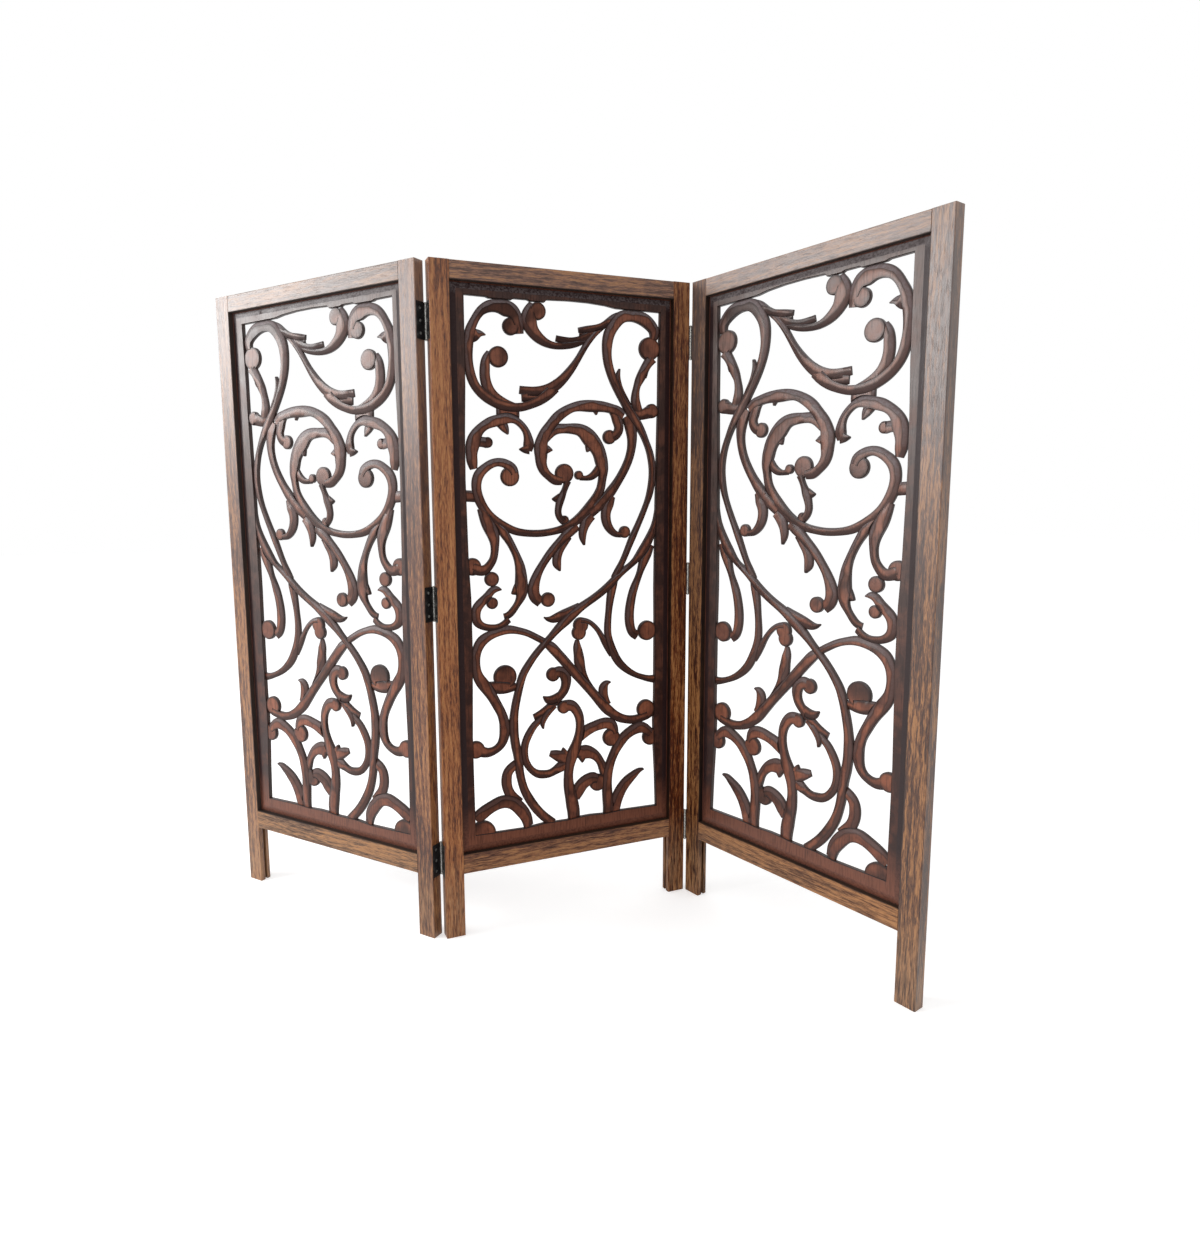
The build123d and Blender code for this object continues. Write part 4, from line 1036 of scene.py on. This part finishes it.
def beyond_opening(tree, place):
    """How far outside the opening for the board a point of the frame lies."""
    outside = []
    for axis, middle, width in (
            ("X", panel_width / 2, opening_width), ("Z", opening_low + opening_height / 2, opening_height)):
        offset = maths(tree, "SUBTRACT", axis_of(tree, place, axis), middle)
        outside.append(maths(tree, "SUBTRACT", maths(tree, "ABSOLUTE", offset, 0.0), width / 2))
    return maths(tree, "MAXIMUM", *outside)


def frame_wood(name, place_of_panel, grain_lies_across, seed, stain, polish, sheen_share):
    """Stained hardwood: broad figure, golden streaks and dark pores along the grain, paler feet, with a
    painted grey sheen towards the top and painted shade at the edges of the opening.
    """
    material, tree, shader = new_material(name)
    place = panel_place(tree, place_of_panel)
    height = axis_of(tree, place, "Z")
    turn = (0, math.radians(90), 0) if grain_lies_across else (0, 0, 0)
    grain = add(tree, "ShaderNodeMapping", {
        "Vector": place, "Rotation": turn,
        "Location": [shift * seed for shift in GRAIN_SHIFT]}).outputs[0]
    figure, streaks, fibre, pores = [
        drawn_noise(tree, grain, *settings) for settings in (FIGURE, STREAKS, FIBRE, PORES)]
    rings = add(
        tree, "ShaderNodeTexWave", {"Vector": drawn_out(tree, grain, ring_squeeze), **RINGS},
        wave_type="BANDS", bands_direction="X")
    tone = times(tree, rings.outputs["Fac"], ring_tone)
    for pattern, (low, high, share) in (
            (figure, FIGURE_TONE), (streaks, STREAK_TONE), (fibre, FIBRE_TONE)):
        tone = maths(tree, "ADD", tone, times(tree, spread(tree, pattern, low, high), share))
    ramp = add(tree, "ShaderNodeValToRGB", {"Fac": tone})
    dark = [channel * share for channel, share in zip(stain, STREAK_DARKENING)]
    golden = [channel * (1 - golden_share) + gold * golden_share for channel, gold in zip(stain, GOLD)]
    first, last = ramp.color_ramp.elements
    first.position = dark_until
    first.color = (*dark, 1)
    last.position = golden_from
    last.color = (*golden, 1)
    ramp.color_ramp.elements.new(stained_at).color = (*stain, 1)
    foot_share = times(
        tree, spread(tree, height, *FOOT_BY_HEIGHT), spread(tree, streaks, *FOOT_BY_STREAKS))
    colour = blend_colours(tree, foot_share, ramp.outputs["Color"], FOOT_TAN)
    # painted sheen: grey painted into the colour towards the top, standing in for a window's reflection
    colour = under_painted_sheen(tree, colour, height, sheen_share)
    pore_share = spread(tree, pores, *PORE_SHARE)
    colour = blend_colours(tree, pore_share, colour, PORE_BROWN)
    # painted shade: the frame's faces round the opening turned near black, where shade falls in the recess
    shaded_reveal = spread(tree, beyond_opening(tree, place), *REVEAL_SHADE_BY_DISTANCE)
    colour = blend_colours(tree, shaded_reveal, colour, PAINTED_REVEAL_SHADE)
    roughness = maths(
        tree, "ADD", spread(tree, streaks, *FRAME_ROUGHNESS), times(tree, shaded_reveal, reveal_dullness))
    relief = maths(tree, "SUBTRACT", fibre, times(tree, pore_share, pore_relief))
    surfaced(tree, shader, colour, roughness, relief, strength=0.3, distance=0.4 * MM)
    shader.inputs["Specular IOR Level"].default_value = polish
    return material


# ---- Wood of the carved boards ----
CARVED_MID = (0.122, 0.038, 0.022)
CARVED_WARM = (0.255, 0.084, 0.044)
# Dark of the stained edges and patches, also the painted shade on the chamfers
DARK_STAIN_AND_SHADE = (0.012, 0.005, 0.004)
# Grey of the chamfers: partly a rubbed finish, partly a painted highlight
RUBBED_AND_LIT_GREY = (0.190, 0.172, 0.182)
CHAMFER_BROWN = (0.085, 0.032, 0.022)
CARVED_WALL = (0.012, 0.005, 0.004)
WALL_BROWN = (0.045, 0.017, 0.010)
BORDER_DARK = (0.032, 0.011, 0.008)
BORDER_BROWN = (0.175, 0.060, 0.034)
RIM_DARK = (0.022, 0.009, 0.009)
RIM_GREY = (0.13, 0.105, 0.105)

# Patterns: scale, detail, roughness and distortion, and the grain's squeeze before them
MOTTLE = (30.0, 4.0, 0.6, 0.4)
SMOKE = (11.0, 2.0, 0.5, 0.6)
FINE_MARKS = (260.0, 4.0, 0.6)
BOARD_GRAIN = (0.08, 380.0, 3.0, 0.6)
SAW_PATCHES = (90.0, 4.0, 0.6)
SAW_MARKS = (700.0, 3.0, 0.6)

# Faces of the strands. The airbrushed edge is in mm from the edge of the face.
WARM_BY_MOTTLE = (0.36, 0.62)
DARK_BY_SMOKE = (0.54, 0.68, 0.0, 0.75)
DARK_BY_INSET = (0.0, 3.8, 0.85, 0.0)
DARK_BY_GRAIN = (0.50, 0.68, 0, 0.5)

# Chamfers: grey, partly rubbed and partly a painted highlight, by height (m), by how far they face up, and
# by mm from the strand's side; painted shade by mm from the strand's side and where they face down
HIGHLIGHT_BY_HEIGHT = (0.30, 0.85, 0.16, 0.85)
HIGHLIGHT_BY_FACING = (-0.15, 0.40, 0.06, 1.0)
RUB_AND_HIGHLIGHT_BY_MARKS = (0.35, 0.62, 0.45, 1.0)
RUB_AND_HIGHLIGHT_BY_EDGE = (0.6, 3.4, 0.1, 1.0)
HIGHLIGHT_TO_EDGE_BY_FACING = (0.1, 0.5, 0.0, 0.8)
SHADE_BY_EDGE = (0.0, 3.2, 0.95, 0.2)
SHADE_BY_FACING = (-0.45, 0.05, 0.85, 0.0)

# Border, rim and back: brown near the foot, grey rubbed along the top of the rim (m)
BROWN_BY_HEIGHT = (0.175, 0.25, 1.0, 0.0)
BROWN_BY_MOTTLE = (0.45, 0.65, 0, 0.4)
BORDER_BY_GRAIN = (0.48, 0.68, 0, 0.55)
RIM_RUB_BY_HEIGHT = (1.165, 1.173, 0.03, 0.55)
RIM_RUB_BY_MARKS = (0.40, 0.58)
RIM_BROWN_BY_MARKS = (0.35, 0.6, 0.45, 0.9)
BACK_BY_GRAIN = (0.40, 0.68, 0, 0.7)
BOARD_ROUGHNESS = (0.3, 0.7, 0.34, 0.46)
board_dullness = 0.4
marks_relief = 0.5
mark_tolerance = 0.4
WALL_BROWN_BY_PATCHES = (0.45, 0.7)
WALL_ROUGHNESS = (0.3, 0.7, 0.7, 0.9)


def marked(tree, role, mark):
    """1 where a face carries this mark, otherwise 0."""
    inputs = {0: role, 1: float(mark), 2: mark_tolerance}
    return add(tree, "ShaderNodeMath", inputs, operation="COMPARE").outputs[0]


def carved_wood(name, polish, sheen_share):
    """Red-brown stain airbrushed dark at the edges under a painted grey sheen, and chamfers partly rubbed
    grey, with a painted highlight where they face up and painted shade where they face down.
    """
    material, tree, shader = new_material(name)
    place = object_place(tree)
    height = axis_of(tree, place, "Z")
    facing_up = axis_of(tree, add(tree, "ShaderNodeNewGeometry").outputs["Normal"], "Z")
    role = add(tree, "ShaderNodeAttribute", attribute_name="role").outputs["Fac"]
    carving = add(tree, "ShaderNodeUVMap", uv_map="carving").outputs["UV"]
    edge = axis_of(tree, carving, "X")
    inset = axis_of(tree, carving, "Y")
    mottle = noise(tree, place, *MOTTLE)
    marks = noise(tree, place, *FINE_MARKS)
    grain = drawn_noise(tree, place, *BOARD_GRAIN)
    # strand faces
    top = tinted(tree, CARVED_MID, CARVED_WARM, mottle, WARM_BY_MOTTLE)
    # painted sheen: grey painted in towards the top, standing in for a window's reflection
    top = under_painted_sheen(tree, top, height, sheen_share)
    top = tinted(tree, top, DARK_STAIN_AND_SHADE, noise(tree, place, *SMOKE), DARK_BY_SMOKE)
    top = tinted(tree, top, DARK_STAIN_AND_SHADE, inset, DARK_BY_INSET)
    top = tinted(tree, top, DARK_STAIN_AND_SHADE, grain, DARK_BY_GRAIN)
    # chamfers
    # painted highlight: chamfers greyed where they face up and higher up, broken by patches of rubbing
    rub_and_highlight = times(tree, spread(tree, height, *HIGHLIGHT_BY_HEIGHT), spread(tree, facing_up, *HIGHLIGHT_BY_FACING))
    rub_and_highlight = times(tree, rub_and_highlight, spread(tree, marks, *RUB_AND_HIGHLIGHT_BY_MARKS))
    lit_edge = spread(tree, facing_up, *HIGHLIGHT_TO_EDGE_BY_FACING)
    rub_and_highlight = times(tree, rub_and_highlight, maths(tree, "MAXIMUM", spread(tree, edge, *RUB_AND_HIGHLIGHT_BY_EDGE), lit_edge))
    # painted shade: chamfers darkened where they face down and along the strand's side
    shade = spread(tree, edge, *SHADE_BY_EDGE)
    shade = maths(tree, "MAXIMUM", shade, spread(tree, facing_up, *SHADE_BY_FACING))
    chamfer = blend_colours(tree, shade, CHAMFER_BROWN, DARK_STAIN_AND_SHADE)
    chamfer = blend_colours(tree, rub_and_highlight, chamfer, RUBBED_AND_LIT_GREY)
    # border and its bevelled rim
    browning = spread(tree, height, *BROWN_BY_HEIGHT)
    border = blend_colours(tree, browning, BORDER_DARK, BORDER_BROWN)
    border = tinted(tree, border, BORDER_BROWN, mottle, BROWN_BY_MOTTLE)
    # painted sheen on the border, as on the strand faces
    border = under_painted_sheen(tree, border, height, sheen_share)
    border = tinted(tree, border, DARK_STAIN_AND_SHADE, grain, BORDER_BY_GRAIN)
    rim_brown = times(tree, browning, spread(tree, marks, *RIM_BROWN_BY_MARKS))
    rim_rub = times(
        tree, spread(tree, height, *RIM_RUB_BY_HEIGHT), spread(tree, marks, *RIM_RUB_BY_MARKS))
    rim = blend_colours(tree, rim_brown, RIM_DARK, BORDER_BROWN)
    rim = blend_colours(tree, rim_rub, rim, RIM_GREY)
    back = tinted(tree, CARVED_MID, DARK_STAIN_AND_SHADE, grain, BACK_BY_GRAIN)
    colour = top
    for mark, finish in ((CHAMFER, chamfer), (BORDER, border), (RIM, rim), (BACK, back)):
        colour = blend_colours(tree, marked(tree, role, mark), colour, finish)
    dull = times(tree, marked(tree, role, CHAMFER), shade)
    dull = maths(tree, "MAXIMUM", marked(tree, role, BACK), dull)
    roughness = maths(
        tree, "ADD", spread(tree, mottle, *BOARD_ROUGHNESS), times(tree, dull, board_dullness))
    relief = maths(tree, "ADD", times(tree, marks, marks_relief), grain)
    surfaced(tree, shader, colour, roughness, relief, strength=0.3, distance=0.5 * MM)
    shader.inputs["Specular IOR Level"].default_value = polish
    return material


def sawn_wood(name):
    """The sides left by the saw between the strands: unpolished and nearly black with stain."""
    material, tree, shader = new_material(name)
    place = object_place(tree)
    colour = tinted(tree, CARVED_WALL, WALL_BROWN, noise(tree, place, *SAW_PATCHES), WALL_BROWN_BY_PATCHES)
    marks = noise(tree, place, *SAW_MARKS)
    roughness = spread(tree, marks, *WALL_ROUGHNESS)
    surfaced(tree, shader, colour, roughness, marks, strength=0.3, distance=0.4 * MM)
    shader.inputs["Specular IOR Level"].default_value = 0.02
    return material


# ---- Metal of the hinges ----
LACQUER_BLACK = (0.010, 0.009, 0.009)
LACQUER_WORN = (0.10, 0.095, 0.09)
KNUCKLE_STEEL = (0.50, 0.49, 0.46)
PIN_STEEL = (0.62, 0.61, 0.58)
SCREW_STEEL = (0.70, 0.69, 0.66)
LACQUER_WEAR = (700.0, 4.0, 0.6)
WORN_BY_WEAR = (0.60, 0.75, 0, 0.5)
BARE_BY_DISTANCE = (2.3 * MM, 2.6 * MM, 1.0, 0.0)
BARE_BY_WEAR = (0.40, 0.52)
LACQUER_ROUGHNESS = (0.3, 0.7, 0.25, 0.45)
DRAW_MARKS = (2500.0, 3.0, 0.6)
DARK_BY_MARKS = (0.3, 0.7)
STEEL_ROUGHNESS = (0.3, 0.7, 0.22, 0.42)
dark_steel_share = 0.7


def hinge_lacquer(name, pin):
    """Black lacquer on stamped steel, rubbed bare round the pin."""
    material, tree, shader = new_material(name)
    place = object_place(tree)
    flat = add(tree, "ShaderNodeVectorMath", {0: place, 1: (1, 1, 0)}, operation="MULTIPLY").outputs[0]
    away = add(tree, "ShaderNodeVectorMath", {0: flat, 1: pin}, operation="DISTANCE").outputs["Value"]
    wear = noise(tree, place, *LACQUER_WEAR)
    black = tinted(tree, LACQUER_BLACK, LACQUER_WORN, wear, WORN_BY_WEAR)
    bare = times(tree, spread(tree, away, *BARE_BY_DISTANCE), spread(tree, wear, *BARE_BY_WEAR))
    colour = blend_colours(tree, bare, black, KNUCKLE_STEEL)
    roughness = spread(tree, wear, *LACQUER_ROUGHNESS)
    surfaced(tree, shader, colour, roughness, wear, strength=0.15, distance=0.2 * MM)
    tree.links.new(bare, shader.inputs["Metallic"])
    return material


def bare_steel(name, tone, squeeze):
    """Bare steel with fine draw marks."""
    material, tree, shader = new_material(name)
    marks = drawn_noise(tree, object_place(tree), squeeze, *DRAW_MARKS)
    dark = [dark_steel_share * channel for channel in tone]
    colour = tinted(tree, tone, dark, marks, DARK_BY_MARKS)
    roughness = spread(tree, marks, *STEEL_ROUGHNESS)
    surfaced(tree, shader, colour, roughness, marks, strength=0.12, distance=0.1 * MM)
    shader.inputs["Metallic"].default_value = 1.0
    return material


# ---- Dress the object ----
def dress(node, material):
    """Gives a CAD node its finish."""
    slots = frame["nodes"][node].data.materials
    slots.clear()
    slots.append(material)


carving_finishes = {
    "centre": carved_wood("centre_carved_wood", 0.10, PAINTED_SHEENS["centre"]),
    "left": carved_wood("left_carved_wood", 0.42, PAINTED_SHEENS["left"]),
    "right": carved_wood("right_carved_wood", 0.38, PAINTED_SHEENS["right"]),
}
cut_sides = sawn_wood("sawn_wood")
field = carved_field()
for side, shift in pattern_shifts.items():
    piece = framed_by_border(field, f"{side}_jali_carving", shift)
    if side != "centre":
        mirror(piece.data)
    finish_mesh(piece.data)
    piece.data.materials.clear()
    piece.data.materials.append(carving_finishes[side])
    piece.data.materials.append(cut_sides)
    piece.matrix_world = panel_places[side]
    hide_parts(f"{side}_panel_jali_board")
    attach(piece, f"{side}_panel")
bpy.data.objects.remove(field)

for count, (side, place) in enumerate(panel_places.items()):
    for index, (part, (stain, polish)) in enumerate(FINISHES[side].items()):
        node = f"{side}_panel_{part}"
        seed = len(FINISHES[side]) * count + index
        dress(node, frame_wood(node, place, part.endswith("rail"), seed, stain, polish, PAINTED_SHEENS[side]))

lacquers = {}
for fold in ("left", "right"):
    lacquers[fold] = hinge_lacquer(f"{fold}_hinge_black", joint_place(f"{fold}_fold"))
pin_steel = bare_steel("pin_steel", PIN_STEEL, squeeze=0.1)
screw_steel = bare_steel("screw_steel", SCREW_STEEL, squeeze=1)
for node in frame["nodes"]:
    if node.endswith("leaf"):
        dress(node, lacquers[node.split("_")[0]])
    elif node.endswith("pin"):
        dress(node, pin_steel)
    elif node.endswith("screws"):
        dress(node, screw_steel)


# ---- Floor, world and lamps ----
floor_reach = 14.0
FLOOR_GREY = (0.86, 0.86, 0.86, 1)
WHITE = (1, 1, 1, 1)
floor_glow = 0.45
room_light = 0.66


def seen_directly(tree):
    """1 for what the camera sees itself, in a mirror or through glass, otherwise 0."""
    path = add(tree, "ShaderNodeLightPath").outputs
    mirrored_ray = maths(tree, "ADD", path["Is Glossy Ray"], path["Is Transmission Ray"])
    both = add(tree, "ShaderNodeMath", {0: path["Is Camera Ray"], 1: mirrored_ray}, operation="ADD")
    both.use_clamp = True
    return both.outputs[0]


def add_floor():
    """A plain pale floor that keeps the object's shadow."""
    mesh = bpy.data.meshes.new("floor")
    corners = [(x * floor_reach, y * floor_reach, 0) for x, y in ((-1, -1), (1, -1), (1, 1), (-1, 1))]
    mesh.from_pydata(corners, [], [(0, 1, 2, 3)])
    material, tree, shader = new_material("floor")
    shader.inputs["Base Color"].default_value = FLOOR_GREY
    shader.inputs["Roughness"].default_value = 0.9
    shader.inputs["Specular IOR Level"].default_value = 0.1
    glow = times(tree, seen_directly(tree), floor_glow)
    tree.links.new(glow, shader.inputs["Emission Strength"])
    shader.inputs["Emission Color"].default_value = WHITE
    mesh.materials.append(material)
    floor = in_scene("floor", mesh)


def add_world():
    """A white room: pure white to the camera and in reflections, softer as light."""
    world = bpy.data.worlds.new("world")
    bpy.context.scene.world = world
    world.use_nodes = True
    tree = world.node_tree
    tree.nodes.clear()
    strength = spread(tree, seen_directly(tree), 0, 1, room_light, 1.0)
    ground = add(tree, "ShaderNodeBackground", {"Color": WHITE, "Strength": strength})
    output = tree.nodes.new("ShaderNodeOutputWorld")
    tree.links.new(ground.outputs["Background"], output.inputs["Surface"])


def add_lamp(name, place, target, size, power):
    """A large soft lamp that faces its target."""
    data = bpy.data.lights.new(name, "AREA")
    data.shape = "RECTANGLE"
    data.size = size[0]
    data.size_y = size[1]
    data.energy = power
    lamp = in_scene(name, data)
    aim = Vector(target) - Vector(place)
    lamp.matrix_world = Matrix.Translation(place) @ aim.to_track_quat("-Z", "Y").to_matrix().to_4x4()


bpy.context.scene.view_settings.view_transform = "Standard"
add_floor()
add_world()
add_lamp("window", place=(-3.2, 0.85, 1.8), target=(0, 0, 1.1), size=(2.0, 1.1), power=90)
add_lamp("front", place=(-0.8, -3.6, 2.6), target=(0, 0, 0.6), size=(2.5, 1.5), power=18)
